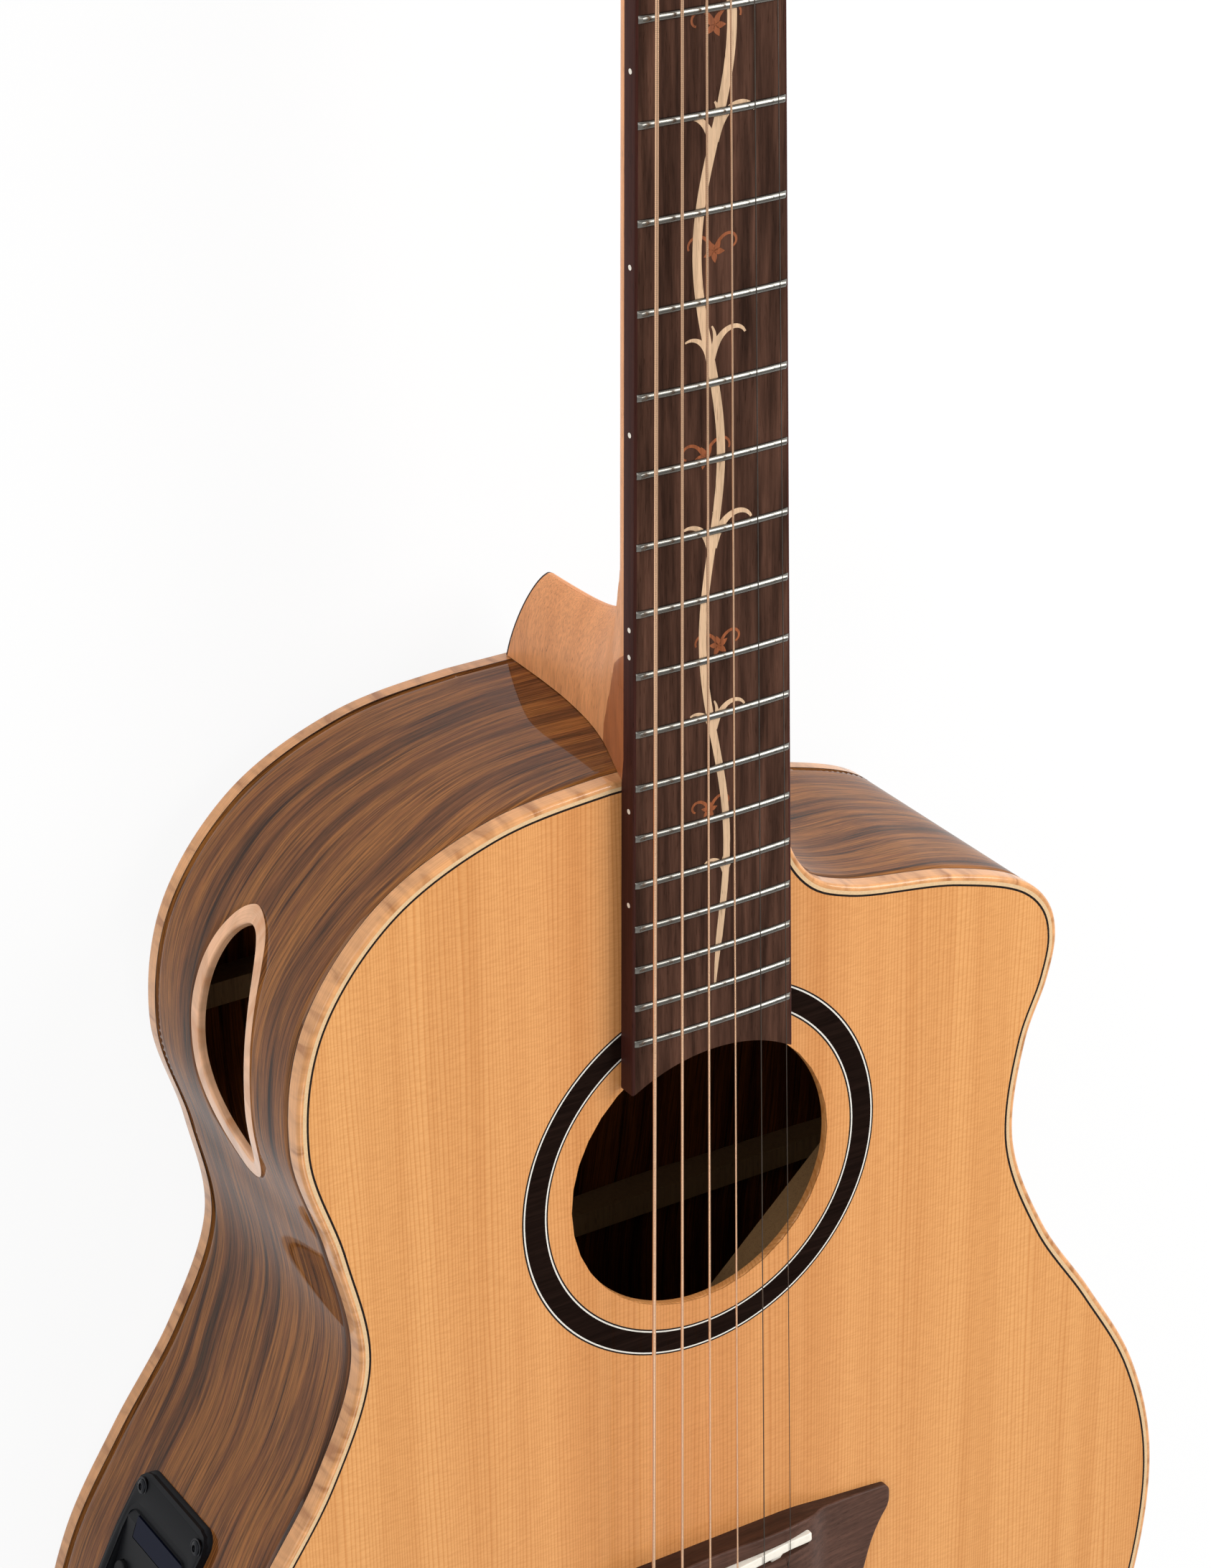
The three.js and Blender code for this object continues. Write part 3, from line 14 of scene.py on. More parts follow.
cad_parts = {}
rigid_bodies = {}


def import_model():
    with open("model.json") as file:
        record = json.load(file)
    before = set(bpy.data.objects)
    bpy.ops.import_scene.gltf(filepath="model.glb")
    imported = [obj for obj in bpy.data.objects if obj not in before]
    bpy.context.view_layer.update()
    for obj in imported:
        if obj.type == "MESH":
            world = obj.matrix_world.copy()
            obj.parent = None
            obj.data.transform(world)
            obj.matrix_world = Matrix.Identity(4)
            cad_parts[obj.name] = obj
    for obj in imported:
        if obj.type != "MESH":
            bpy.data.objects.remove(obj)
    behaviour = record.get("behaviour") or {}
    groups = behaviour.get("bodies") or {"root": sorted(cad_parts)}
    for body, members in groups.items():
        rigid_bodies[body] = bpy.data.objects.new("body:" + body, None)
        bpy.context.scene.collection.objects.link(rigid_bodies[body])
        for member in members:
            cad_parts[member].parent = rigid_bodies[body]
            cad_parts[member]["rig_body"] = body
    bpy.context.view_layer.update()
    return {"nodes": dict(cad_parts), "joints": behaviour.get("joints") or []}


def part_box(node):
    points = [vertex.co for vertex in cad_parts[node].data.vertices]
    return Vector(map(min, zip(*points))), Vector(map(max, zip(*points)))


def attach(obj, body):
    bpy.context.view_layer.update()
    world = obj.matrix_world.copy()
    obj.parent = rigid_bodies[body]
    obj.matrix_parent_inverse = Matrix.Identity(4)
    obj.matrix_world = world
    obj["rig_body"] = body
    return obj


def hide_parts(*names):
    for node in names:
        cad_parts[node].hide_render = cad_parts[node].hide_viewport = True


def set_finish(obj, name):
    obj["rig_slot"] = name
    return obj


bl_info = {
    "name": "Acoustic-electric guitar",
    "version": (1, 0, 0),
    "blender": (4, 5, 0),
    "location": "View3D > Sidebar > Guitar",
    "description": "Builds the visible pieces and finishes of an acoustic-electric guitar over its frame",
    "category": "Add Mesh",
}

MM = 0.001
GRAIN = "grain"

# A Wave Texture of scale 1 draws one band in this length
BAND = 0.314

# An edge that bends by more degrees than this stays sharp
SHARP = 32

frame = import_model()

# Nut front, soundboard plane and preamp axes come from the frame
NUT_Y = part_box("nut")[0].y
TOP_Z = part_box("binding_top")[1].z
TO_FRAME = np.array([0.0, NUT_Y, TOP_Z])
joints = {joint["name"]: joint for joint in frame["joints"]}


def linear(code):
    """Turn an sRGB hex colour into linear red, green and blue."""
    shares = np.array([int(code[i:i + 2], 16) for i in (1, 3, 5)]) / 255
    low, high = shares / 12.92, ((shares + 0.055) / 1.055) ** 2.4
    return tuple(float(v) for v in np.where(shares <= 0.04045, low, high))


# Sizes and colours


def length(name, text, millimetres):
    """A length that the panel shows in Blender's own unit."""
    return bpy.props.FloatProperty(
        name=name, description=text, default=millimetres * MM, unit="LENGTH", precision=4,
    )


def count(name, text, number):
    """A whole number of like things."""
    return bpy.props.IntProperty(name=name, description=text, default=number, min=1)


def colour(name, text, code):
    """A colour, held as linear values."""
    return bpy.props.FloatVectorProperty(
        name=name, description=text, subtype="COLOR", size=3, min=0.0, max=1.0, default=linear(code)
    )


class BodySizes(bpy.types.PropertyGroup):
    """Sizes of the body box."""

    body_length: length("Body length", "From the neck joint to the tail", 492.6)
    upper_bout: length("Upper bout", "Widest place near the neck", 275.6)
    waist: length("Waist", "Narrowest place between the bouts", 241.4)
    lower_bout: length("Lower bout", "Widest place of the body", 375.4)
    joint_flat: length("Joint flat", "Straight edge that the neck meets", 62)
    depth_at_neck: length("Depth at the neck", "Soundboard to the back's edge there", 98.2)
    depth_at_tail: length("Depth at the tail", "Soundboard to the back's edge there", 109.6)
    back_dome: length("Back dome", "How far the back's middle stands out", 4)
    side_thickness: length("Side thickness", "Wall of the bent sides", 2.4)
    top_thickness: length("Top thickness", "Thickness of the soundboard", 2.8)
    back_thickness: length("Back thickness", "Thickness of the back", 2.6)
    binding_width: length("Binding width", "Binding seen on the soundboard", 1.7)
    binding_height: length("Binding height", "Binding seen on the side", 5.7)
    binding_round: length("Binding rounding", "Radius of the binding's outer edge", 1.3)
    pale_line: length("Pale line", "Width of the pale line inside the binding", 1.2)
    dark_line: length("Dark line", "Width of the dark line on the soundboard", 0.7)
    side_line: length("Side line", "Width of the dark line on the side", 0.22)
    soundhole_radius: length("Soundhole radius", "Radius of the soundhole", 47)
    soundhole_from_nut: length("Soundhole from nut", "Nut to the soundhole's centre", 500.2)
    rosette_inner: length("Rosette inner radius", "Inner radius of the dark ring", 56.5)
    rosette_outer: length("Rosette outer radius", "Outer radius of the dark ring", 63.5)
    rosette_line: length("Rosette line", "Width of the thin lines beside the ring", 0.5)
    port_from_nut: length("Soundport from nut", "Nut to the soundport's middle", 439.65)
    port_length: length("Soundport length", "Length of its ring along the body", 88.3)
    port_height: length("Soundport height", "Height of its ring", 38.8)
    port_drop: length("Soundport drop", "Soundboard to the soundport's middle", 49.4)
    port_thickness: length("Soundport thickness", "Thickness of its ring", 2.4)


class NeckSizes(bpy.types.PropertyGroup):
    """Sizes of the neck, its fretboard and its headstock."""

    scale: length("Scale", "Vibrating length that spaces the frets", 648)
    frets: count("Frets", "Number of frets", 20)
    joint_fret: count("Joint fret", "Fret at which the neck meets the body", 14)
    nut_width: length("Nut width", "Width of the fretboard at the nut", 44.2)
    joint_width: length("Joint width", "Width of the fretboard at the joint", 54.8)
    neck_rise: length("Neck rise", "Neck's top above the soundboard", 1.1)
    edge_thickness: length("Fretboard edge", "Thickness of the fretboard at its edge", 5.2)
    crown_radius: length("Crown radius", "Radius of the fretboard across", 406)
    bound_edge: length("Bound edge", "Width of the darker edge seen on top", 0.9)
    corner_round: length("End corner", "Rounding of the fretboard's end corners", 3.2)
    fret_width: length("Fret width", "Width of a fret's crown", 2.3)
    fret_height: length("Fret height", "Height of a fret's crown", 1.1)
    fret_inset: length("Fret inset", "Fretboard edge to the fret's end", 0.7)
    dot_radius: length("Side dot radius", "Radius of a side dot", 0.8)
    depth_at_nut: length("Depth at nut", "Depth of the neck at the nut", 15.5)
    depth_at_heel: length("Depth at heel", "Depth of the neck above the heel", 18)
    heel_depth: length("Heel depth", "Soundboard to the heel's foot", 95.9)
    heel_length: length("Heel length", "Body to the heel's foot's far end", 28.7)
    heel_rise: length("Heel cap rise", "How much higher the far end of the foot is", 9.6)
    cap_thickness: length("Heel cap", "Thickness of the heel cap", 1)
    head_length: length("Headstock length", "Nut to the headstock's end", 186)
    head_width: length("Headstock width", "Widest place of the headstock", 76)
    head_thickness: length("Headstock thickness", "Thickness of the headstock", 15)
    head_angle: bpy.props.FloatProperty(
        name="Headstock angle", description="How far the headstock leans back",
        default=np.radians(14), subtype="ANGLE",
    )


class StringSizes(bpy.types.PropertyGroup):
    """Sizes of the strings and of the bridge that holds them."""

    radii: bpy.props.FloatVectorProperty(
        name="Radii", description="String radii, thickest first", size=6, unit="LENGTH",
        default=[r * MM for r in (0.6, 0.48, 0.38, 0.29, 0.17, 0.13)],
    )
    wound: count("Wound strings", "How many strings are wound", 4)
    winding: length("Winding pitch", "From one turn of the winding to the next", 0.55)
    spread_at_nut: length("Spread at nut", "First to last string at the nut", 35)
    spread_at_saddle: length("Spread at saddle", "First to last string at the saddle", 54)
    bridge_half: length("Bridge half length", "Middle of the bridge to a wing's tip", 73)
    bridge_width: length("Bridge width", "Front to rear of the bridge", 40)
    bridge_height: length("Bridge height", "Height of the bridge's middle", 8.7)
    bridge_front: length("Bridge front", "Nut to the bridge's front edge", 641.3)
    bridge_round: length("Bridge rounding", "Radius of the bridge's top edges", 0.8)
    saddle_from_nut: length("Saddle from nut", "Nut to the saddle's middle", 650.6)
    saddle_length: length("Saddle length", "Length of the saddle", 72)
    saddle_thickness: length("Saddle thickness", "Thickness of the saddle", 6)
    pin_from_nut: length("Pins from nut", "Nut to the row of bridge pins", 663)
    pin_head: length("Pin head radius", "Radius of a bridge pin's head", 3.9)


class MachineHeadSizes(bpy.types.PropertyGroup):
    """Sizes of the six machine heads."""

    first_post: length("First post", "Nut to the first pair of posts", 42)
    pitch: length("Post pitch", "From one pair of posts to the next", 39)
    first_out: length("First post out", "Centre line to the first post", 21.5)
    out_step: length("Out step", "How much further out each next post stands", 2.2)
    post_radius: length("Post radius", "Radius of a post", 3)
    post_height: length("Post height", "Headstock's face to a post's end", 18)
    washer_radius: length("Washer radius", "Radius of the washer round a post", 6.8)
    box_width: length("Gear housing width", "Width of a gear housing", 18)
    box_length: length("Gear housing length", "Length of a gear housing", 22)
    box_depth: length("Gear housing depth", "Depth of a gear housing", 12.5)
    knob_radius: length("Button radius", "Half the width of a tuner button", 9.5)
    knob_length: length("Button length", "Length of a tuner button", 15)


class PreampSizes(bpy.types.PropertyGroup):
    """Sizes of the preamp panel."""

    panel_length: length("Panel length", "Length of the frame along the side", 88)
    panel_height: length("Panel height", "Height of the frame", 46)
    corner: length("Corner", "Radius of the frame's corners", 6)
    stand: length("Stand", "How far the frame stands off the side", 2.9)
    well_length: length("Well length", "Length of the sunk panel", 65)
    well_height: length("Well height", "Height of the sunk panel", 41)
    screw_radius: length("Screw radius", "Radius of a screw's head", 2.3)
    volume_x: length("Volume knob", "Panel's middle to the volume knob, along it", -3)
    volume_rise: length("Volume knob rise", "Panel's middle to the volume knob, up", 8)
    screw_x: length("Screw place", "Panel's middle to a screw, along it", 37.2)
    screw_rise: length("Screw rise", "Panel's middle to a screw, up or down", 19)
    push_x: length("Push button", "Panel's middle to the push button, along it", -10.5)
    push_rise: length("Push button rise", "Panel's middle to the push button, up", -14)


class Colours(bpy.types.PropertyGroup):
    """Base colours of the finishes."""

    spruce: colour("Spruce", "Soundboard under its varnish", "#db9a5c")
    rosewood: colour("Rosewood", "Middle tone of the sides and back", "#754726")
    maple: colour("Maple", "Binding", "#d69b66")
    ring_maple: colour("Ring maple", "Soundport ring", "#e6b38c")
    dark_board: colour("Fretboard wood", "Middle tone of the fretboard", "#462f25")
    bound_edge: colour("Bound edge", "Darker edge of the fretboard", "#40211b")
    mahogany: colour("Neck wood", "Neck and heel", "#e6a06a")
    bridge: colour("Bridge wood", "Middle tone of the bridge", "#533a30")
    red_inlay: colour("Red inlay", "Leaves of the inlay", "#8f4f2b")
    pale_inlay: colour("Pale inlay", "Stem and shoots of the inlay", "#d6b491")
    bronze: colour("Bronze", "Winding of the wound strings", "#f6c8a2")
    floor: colour("Floor", "Floor and backdrop", "#f4f4f3")


GROUPS = {
    "guitar_body": BodySizes,
    "guitar_neck": NeckSizes,
    "guitar_strings": StringSizes,
    "guitar_heads": MachineHeadSizes,
    "guitar_preamp": PreampSizes,
    "guitar_colours": Colours,
}


# Meshes: every surface is a table of points, rows by columns, and seams and poles close when doubles merge


def cells(rows, columns):
    """Corner numbers of each cell of a table of points, row after row."""
    row, column = np.meshgrid(np.arange(rows - 1), np.arange(columns - 1), indexing="ij")
    first = row * columns + column
    return np.stack([first, first + 1, first + columns + 1, first + columns], -1).reshape(-1, 4)


def travelled(points):
    """Distance covered along a line of points, from its start."""
    steps = np.linalg.norm(np.diff(points, axis=0), axis=-1)
    return np.concatenate([[0.0], np.cumsum(steps)])


def surface(points, tones=0, grain=None):
    """A table of points with its grain map (along the rows, then across) and its cells' material numbers."""
    points = np.asarray(points, float)
    rows, columns = points.shape[:2]
    if grain is None:
        down = travelled(points[:, columns // 2])
        over = travelled(points[rows // 2])
        grain = np.stack(np.meshgrid(down, over, indexing="ij"), -1)
    tones = np.broadcast_to(np.asarray(tones), (rows - 1, columns - 1)).reshape(-1)
    return points.reshape(-1, 3), cells(rows, columns), np.asarray(grain, float).reshape(-1, 2), tones


def closed(points):
    """Repeat the first column at the end, so that each row closes on itself."""
    return np.concatenate([points, points[:, :1]], axis=1)


def capped(points):
    """Draw the first and last rows of a table together at their middles."""
    ends = [np.repeat(points[i].mean(0)[None], points.shape[1], axis=0)[None] for i in (0, -1)]
    return np.concatenate([ends[0], points, ends[1]])


def doubled(half, *rest):
    """A closed shell from half widths: left side, then right side reversed, its ends drawn together."""
    sides = [np.stack(np.broadcast_arrays(sign * half, *rest), -1) for sign in (-1, 1)]
    return capped(closed(np.concatenate([sides[0], sides[1][:, ::-1]], axis=1)))


def walled(top, bottom, tones=0, wall_tone=None):
    """Two tables of points of one size, one over the other, with the four walls between their edges."""
    wall_tone = tones if wall_tone is None else wall_tone
    walls = [np.stack([top[0], bottom[0]]), np.stack([top[-1], bottom[-1]])]
    walls += [np.stack([top[:, 0], bottom[:, 0]]), np.stack([top[:, -1], bottom[:, -1]])]
    under = wall_tone if np.ndim(wall_tone) == 0 else 0
    return [surface(top, tones), surface(bottom, under), *[surface(w, under) for w in walls]]


def piece(name, surfaces, skins, slot, body="guitar", replaces=(), sharp=SHARP, facing=None):
    """Join tables of points into one mesh in the frame's coordinates, weld it and let it ride on a body."""
    first, points, quads, grain, tones = 0, [], [], [], []
    for table, corners, chart, tone in surfaces:
        points.append(table)
        quads.append(corners + first)
        grain.append(chart)
        tones.append(tone)
        first += len(table)
    points, quads, grain = np.concatenate(points), np.concatenate(quads), np.concatenate(grain)
    mesh = bpy.data.meshes.new(name)
    mesh.from_pydata((points + TO_FRAME).tolist(), [], quads.tolist())
    chart = mesh.uv_layers.new(name=GRAIN)
    chart.data.foreach_set("uv", grain[quads.reshape(-1)].reshape(-1).astype(np.float32))
    mesh.polygons.foreach_set("material_index", np.concatenate(tones).astype(np.int32))
    for skin in skins:
        mesh.materials.append(finishes[skin])
    weld(mesh, facing)
    mesh.shade_smooth()
    mesh.set_sharp_from_angle(angle=np.radians(sharp))
    made = bpy.data.objects.new(name, mesh)
    bpy.context.scene.collection.objects.link(made)
    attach(made, body)
    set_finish(made, slot)
    if replaces:
        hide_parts(*replaces)
    return made


def weld(mesh, facing):
    """Merge doubles, then turn closed shells outwards, or an open sheet towards the given direction."""
    work = bmesh.new()
    work.from_mesh(mesh)
    bmesh.ops.remove_doubles(work, verts=work.verts, dist=0.002 * MM)
    bmesh.ops.dissolve_degenerate(work, edges=work.edges, dist=0.0005 * MM)
    if facing is None:
        bmesh.ops.recalc_face_normals(work, faces=work.faces)
    else:
        work.normal_update()
        turned = [face for face in work.faces if face.normal.dot(Vector(facing)) < 0]
        bmesh.ops.reverse_faces(work, faces=turned)
    work.to_mesh(mesh)
    work.free()


def cut(obj, surfaces):
    """Cut closed surfaces out of a piece, and keep the result as its mesh."""
    skin = obj.data.materials[0].name
    tool = piece(obj.name + "_tool", surfaces, [skin], obj["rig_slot"], body=obj["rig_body"])
    modifier = obj.modifiers.new("holes", "BOOLEAN")
    modifier.operation, modifier.solver, modifier.object = "DIFFERENCE", "EXACT", tool
    graph = bpy.context.evaluated_depsgraph_get()
    mesh = bpy.data.meshes.new_from_object(obj.evaluated_get(graph), depsgraph=graph)
    obj.modifiers.clear()
    obj.data = mesh
    mesh.shade_smooth()
    mesh.set_sharp_from_angle(angle=np.radians(SHARP))
    bpy.data.objects.remove(tool)


def wear(skin, *nodes):
    """Give CAD nodes whose shape is right their material."""
    for name in nodes:
        node = frame["nodes"][name]
        node.data.materials.clear()
        node.data.materials.append(finishes[skin])


def spline(points, steps, before=None, after=None):
    """Centripetal Catmull-Rom curve: each span blends three straight runs, timed by root distances."""
    points = np.asarray(points, float)
    before = 2 * points[0] - points[1] if before is None else before
    after = 2 * points[-1] - points[-2] if after is None else after
    line = np.vstack([before, points, after])
    p0, p1, p2, p3 = (line[k:len(line) - 3 + k, None] for k in range(4))
    t1 = np.linalg.norm(p1 - p0, axis=-1, keepdims=True) ** 0.5
    t2 = t1 + np.linalg.norm(p2 - p1, axis=-1, keepdims=True) ** 0.5
    t3 = t2 + np.linalg.norm(p3 - p2, axis=-1, keepdims=True) ** 0.5
    t = t1 + (t2 - t1) * (np.arange(steps) / steps)[None, :, None]
    a1 = p0 + (p1 - p0) * t / t1
    a2 = p1 + (p2 - p1) * (t - t1) / (t2 - t1)
    a3 = p2 + (p3 - p2) * (t - t2) / (t3 - t2)
    b1 = a1 + (a2 - a1) * t / t2
    b2 = a2 + (a3 - a2) * (t - t1) / (t3 - t1)
    curve = b1 + (b2 - b1) * (t - t1) / (t2 - t1)
    return np.vstack([curve.reshape(-1, points.shape[1]), points[-1:]])


def loop_spline(points, steps):
    """The same curve through points that close on themselves."""
    points = np.asarray(points, float)
    ring = np.vstack([points, points[:1]])
    return spline(ring, steps, points[-1], points[1])[:-1]


def spaced(points, number):
    """The given number of points at equal distances along a line of points."""
    way = travelled(points)
    at = np.linspace(0, way[-1], number)
    return np.stack([np.interp(at, way, points[:, k]) for k in range(points.shape[1])], -1)


def eased(table, at):
    """Read shares along a cubic Hermite curve, whose slope at a row comes from the rows beside it."""
    places, values = np.array(table, float).T
    slopes = np.gradient(values, places)
    i = np.clip(np.searchsorted(places, at) - 1, 0, len(places) - 2)
    step = places[i + 1] - places[i]
    t = np.clip((at - places[i]) / step, 0, 1)
    keep = (2 * t**3 - 3 * t**2 + 1) * values[i] + (3 * t**2 - 2 * t**3) * values[i + 1]
    return keep + step * ((t**3 - 2 * t**2 + t) * slopes[i] + (t**3 - t**2) * slopes[i + 1])


def turned(profile, steps=48):
    """Turn a profile of radius and height round z: x and y are the radius times cosine and sine."""
    radius, height = np.array(profile, float).T
    angle = np.linspace(0, 2 * np.pi, steps + 1)
    ring = np.stack([np.outer(radius, np.cos(angle)), np.outer(radius, np.sin(angle))], -1)
    return np.concatenate([ring, np.repeat(height[:, None, None], steps + 1, axis=1)], -1)


def softened(profile, bevel, steps=4):
    """Round each corner of a profile with a quadratic arc that starts and ends a bevel away from it."""
    profile = np.array(profile, float)
    before, here, after = profile[:-2], profile[1:-1], profile[2:]
    back, ahead = before - here, after - here
    back_length = np.linalg.norm(back, axis=1, keepdims=True)
    ahead_length = np.linalg.norm(ahead, axis=1, keepdims=True)
    start = here + back * np.minimum(bevel / back_length, 0.45)
    end = here + ahead * np.minimum(bevel / ahead_length, 0.45)
    t = np.linspace(0, 1, steps + 1)[None, :, None]
    arcs = (1 - t) ** 2 * start[:, None] + 2 * t * (1 - t) * here[:, None] + t**2 * end[:, None]
    return np.vstack([profile[:1], arcs.reshape(-1, profile.shape[1]), profile[-1:]])


def rounded_rectangle(half_x, half_y, corner):
    """Outline of a rectangle whose corners are quarter circles, anticlockwise from the right."""
    angle = np.linspace(0, np.pi / 2, 9)
    arc = corner * np.stack([np.cos(angle), np.sin(angle)], -1)
    out = []
    for quarter, (sx, sy) in enumerate([(1, 1), (-1, 1), (-1, -1), (1, -1)]):
        c, s = np.cos(quarter * np.pi / 2), np.sin(quarter * np.pi / 2)
        turn = arc @ np.array([[c, s], [-s, c]])
        out.append(turn + np.array([sx * (half_x - corner), sy * (half_y - corner)]))
    return np.vstack(out)


def moved_in(ring, distance):
    """Move a closed outline that runs anticlockwise inwards by its mitred normals."""
    before, after = np.roll(ring, 1, axis=0), np.roll(ring, -1, axis=0)

    def normal(a, b):
        side = np.stack([a[:, 1] - b[:, 1], b[:, 0] - a[:, 0]], -1)
        return side / np.maximum(np.linalg.norm(side, axis=1, keepdims=True), 1e-9)

    n1, n2 = normal(before, ring), normal(ring, after)
    mitre = (n1 + n2) / (1 + np.sum(n1 * n2, axis=1, keepdims=True))
    return ring + mitre * distance


def block(ring, low, high, bevel):
    """A flat solid over an outline from low to high, its two rims eased by a quarter circle."""
    angle = np.linspace(0, np.pi / 2, 5)
    insets = bevel * (1 - np.cos(angle[::-1]))
    rise = bevel * (1 - np.sin(angle[::-1]))
    rows = [(i, low + r) for i, r in zip(insets, rise)]
    rows += [(i, high - r) for i, r in zip(insets[::-1], rise[::-1])]
    rings = []
    for inset, z in rows:
        flat = moved_in(ring, inset)
        rings.append(np.column_stack([flat, np.full(len(flat), z)]))
    return capped(closed(np.array(rings)))


def tube(path, radius, side, sides=12):
    """A round skin round a path: each ring stands square to the path's own direction."""
    path = np.asarray(path, float)
    way = np.gradient(path, axis=0)
    way /= np.linalg.norm(way, axis=1, keepdims=True)
    side = side - way * np.sum(way * side, axis=1, keepdims=True)
    side /= np.linalg.norm(side, axis=1, keepdims=True)
    up = np.cross(way, side)
    angle = np.linspace(0, 2 * np.pi, sides + 1)[None, :, None]
    return path[:, None] + radius * (np.cos(angle) * side[:, None] + np.sin(angle) * up[:, None])


# Body shape: shares of a bout's half width and of the body's length, from the neck round the bass side

shoulder_shares = [[0.515, 0.0095], [0.776, 0.044], [0.954, 0.107], [0.9985, 0.1865]]
waist_shares = [[1.056, 0.265], [1.004, 0.344]]
lower_shares = [
    [0.719, 0.42], [0.833, 0.488], [0.938, 0.559], [0.994, 0.637], [0.988, 0.718],
    [0.93, 0.801], [0.8125, 0.874], [0.629, 0.937], [0.37, 0.982],
]
cutaway_shares = [
    [0.2264, 0.0418], [0.2358, 0.0763], [0.3019, 0.1039], [0.402, 0.1173], [0.693, 0.133],
    [0.8948, 0.1547], [0.9637, 0.1762], [0.9826, 0.2002], [0.963, 0.2296], [0.906, 0.2716],
]
port_ring_shares = [
    [0, -0.046], [0.015, -0.149], [0.043, -0.232], [0.085, -0.304], [0.136, -0.366], [0.219, -0.428],
    [0.309, -0.469], [0.408, -0.495], [0.52, -0.484], [0.612, -0.459], [0.708, -0.412], [0.798, -0.371],
    [0.889, -0.309], [0.952, -0.222], [0.993, -0.108], [1, 0.021], [0.984, 0.134], [0.941, 0.227],
    [0.861, 0.34], [0.77, 0.43], [0.663, 0.487], [0.515, 0.5], [0.368, 0.479], [0.238, 0.436],
    [0.136, 0.361], [0.065, 0.258], [0.024, 0.139],
]
port_hole_shares = [
    [0.054, -0.03], [0.076, -0.135], [0.12, -0.225], [0.185, -0.29], [0.272, -0.34], [0.374, -0.37],
    [0.487, -0.375], [0.578, -0.35], [0.657, -0.29], [0.736, -0.225], [0.815, -0.145], [0.878, -0.035],
    [0.916, 0.07], [0.914, 0.144], [0.861, 0.227], [0.793, 0.294], [0.696, 0.356], [0.578, 0.384],
    [0.425, 0.384], [0.289, 0.351], [0.176, 0.278], [0.099, 0.175], [0.061, 0.072],
]
depth_rise_shares = [0.08, 0.55]


def settings(context, *groups):
    """The sizes or colours that the panel shows, for the groups named."""
    found = [getattr(context.scene, "guitar_" + group) for group in groups]
    return found if len(found) > 1 else found[0]


def fret_y(neck, number):
    """Equal temperament: the string's free length falls by the twelfth root of two at each fret."""
    return -neck.scale * (1 - 2.0 ** (-np.asarray(number) / 12))


def joint_y(neck):
    """Where the neck meets the body."""
    return float(fret_y(neck, neck.joint_fret))


def body_outline(body, neck):
    """The body seen from above, anticlockwise from the neck's centre, at equal distances along it."""
    start, flat = joint_y(neck), body.joint_flat / 2

    def rows(shares, width, side):
        return [[side * width / 2 * across, start - down * body.body_length] for across, down in shares]

    bass = [[-flat, start], *rows(shoulder_shares, body.upper_bout, -1), *rows(waist_shares, body.waist, -1)]
    bass += [*rows(lower_shares, body.lower_bout, -1), [0, start - body.body_length]]
    treble = [*rows(lower_shares, body.lower_bout, 1)[::-1], *rows(waist_shares[1:], body.waist, 1)]
    treble += [*rows(cutaway_shares, body.upper_bout, 1)[::-1], [flat, start]]
    bent = spaced(spline(bass + treble, 24, before=[0, start]), 561)
    across = np.linspace(0, -flat, 13)[:-1]
    left = np.stack([across, np.full(12, start)], -1)
    right = -left[:0:-1] * [1, -1]
    return np.vstack([left, bent, right])


def edge_z(body, neck, y):
    """The back's edge: it sweeps from its depth at the neck to its depth at the tail as 3t^2 - 2t^3."""
    start, end = depth_rise_shares
    t = np.clip(((joint_y(neck) - y) / body.body_length - start) / (end - start), 0, 1)
    return -(body.depth_at_neck + (body.depth_at_tail - body.depth_at_neck) * (3 * t**2 - 2 * t**3))


def carried(ring, insets, heights, tones=0):
    """Carry a profile round the body: each point is the outline moved in by its inset, at its height."""
    lines = [np.column_stack([moved_in(ring, inset), height + np.zeros(len(ring))]) for inset, height in
             zip(insets, heights)]
    table = np.stack(lines, 1)
    table = np.concatenate([table, table[:1]])
    down = travelled(np.vstack([ring, ring[:1]]))
    over = travelled(np.stack([insets, [np.mean(h) for h in heights]], -1))
    return surface(table, tones, np.stack(np.meshgrid(down, over, indexing="ij"), -1))


def binding_profile(body, reach=True):
    """Inset and rise of the binding, from the side's dark line round the edge to the last inner line."""
    proud = 0.05 * MM
    angle = np.linspace(0, np.pi / 2, 7)
    arc = body.binding_round * np.stack([1 - np.cos(angle), np.sin(angle) - 1], -1)
    foot = -body.binding_height - body.side_line
    side = [[0.4 * MM, foot], [-proud, foot], [-proud, -body.binding_height]]
    inner = [[body.binding_width, proud], [body.binding_width + body.pale_line * reach, proud]]
    inner += [[inner[1][0] + body.dark_line, proud], [inner[1][0] + body.dark_line, -0.3 * MM]]
    points = np.array([*side, *(arc + [-proud, proud]).tolist(), *inner])
    tones = [1, 1, *[0] * 8, 2, 1, 1]
    return points, tones


def port_outline(body, shares):
    """Teardrop of the soundport: y along the body and z down from the soundboard."""
    y = -body.port_from_nut + body.port_length / 2 - np.array(shares)[:, 0] * body.port_length
    z = -body.port_drop + np.array(shares)[:, 1] * body.port_height
    return np.stack([y, z], -1)


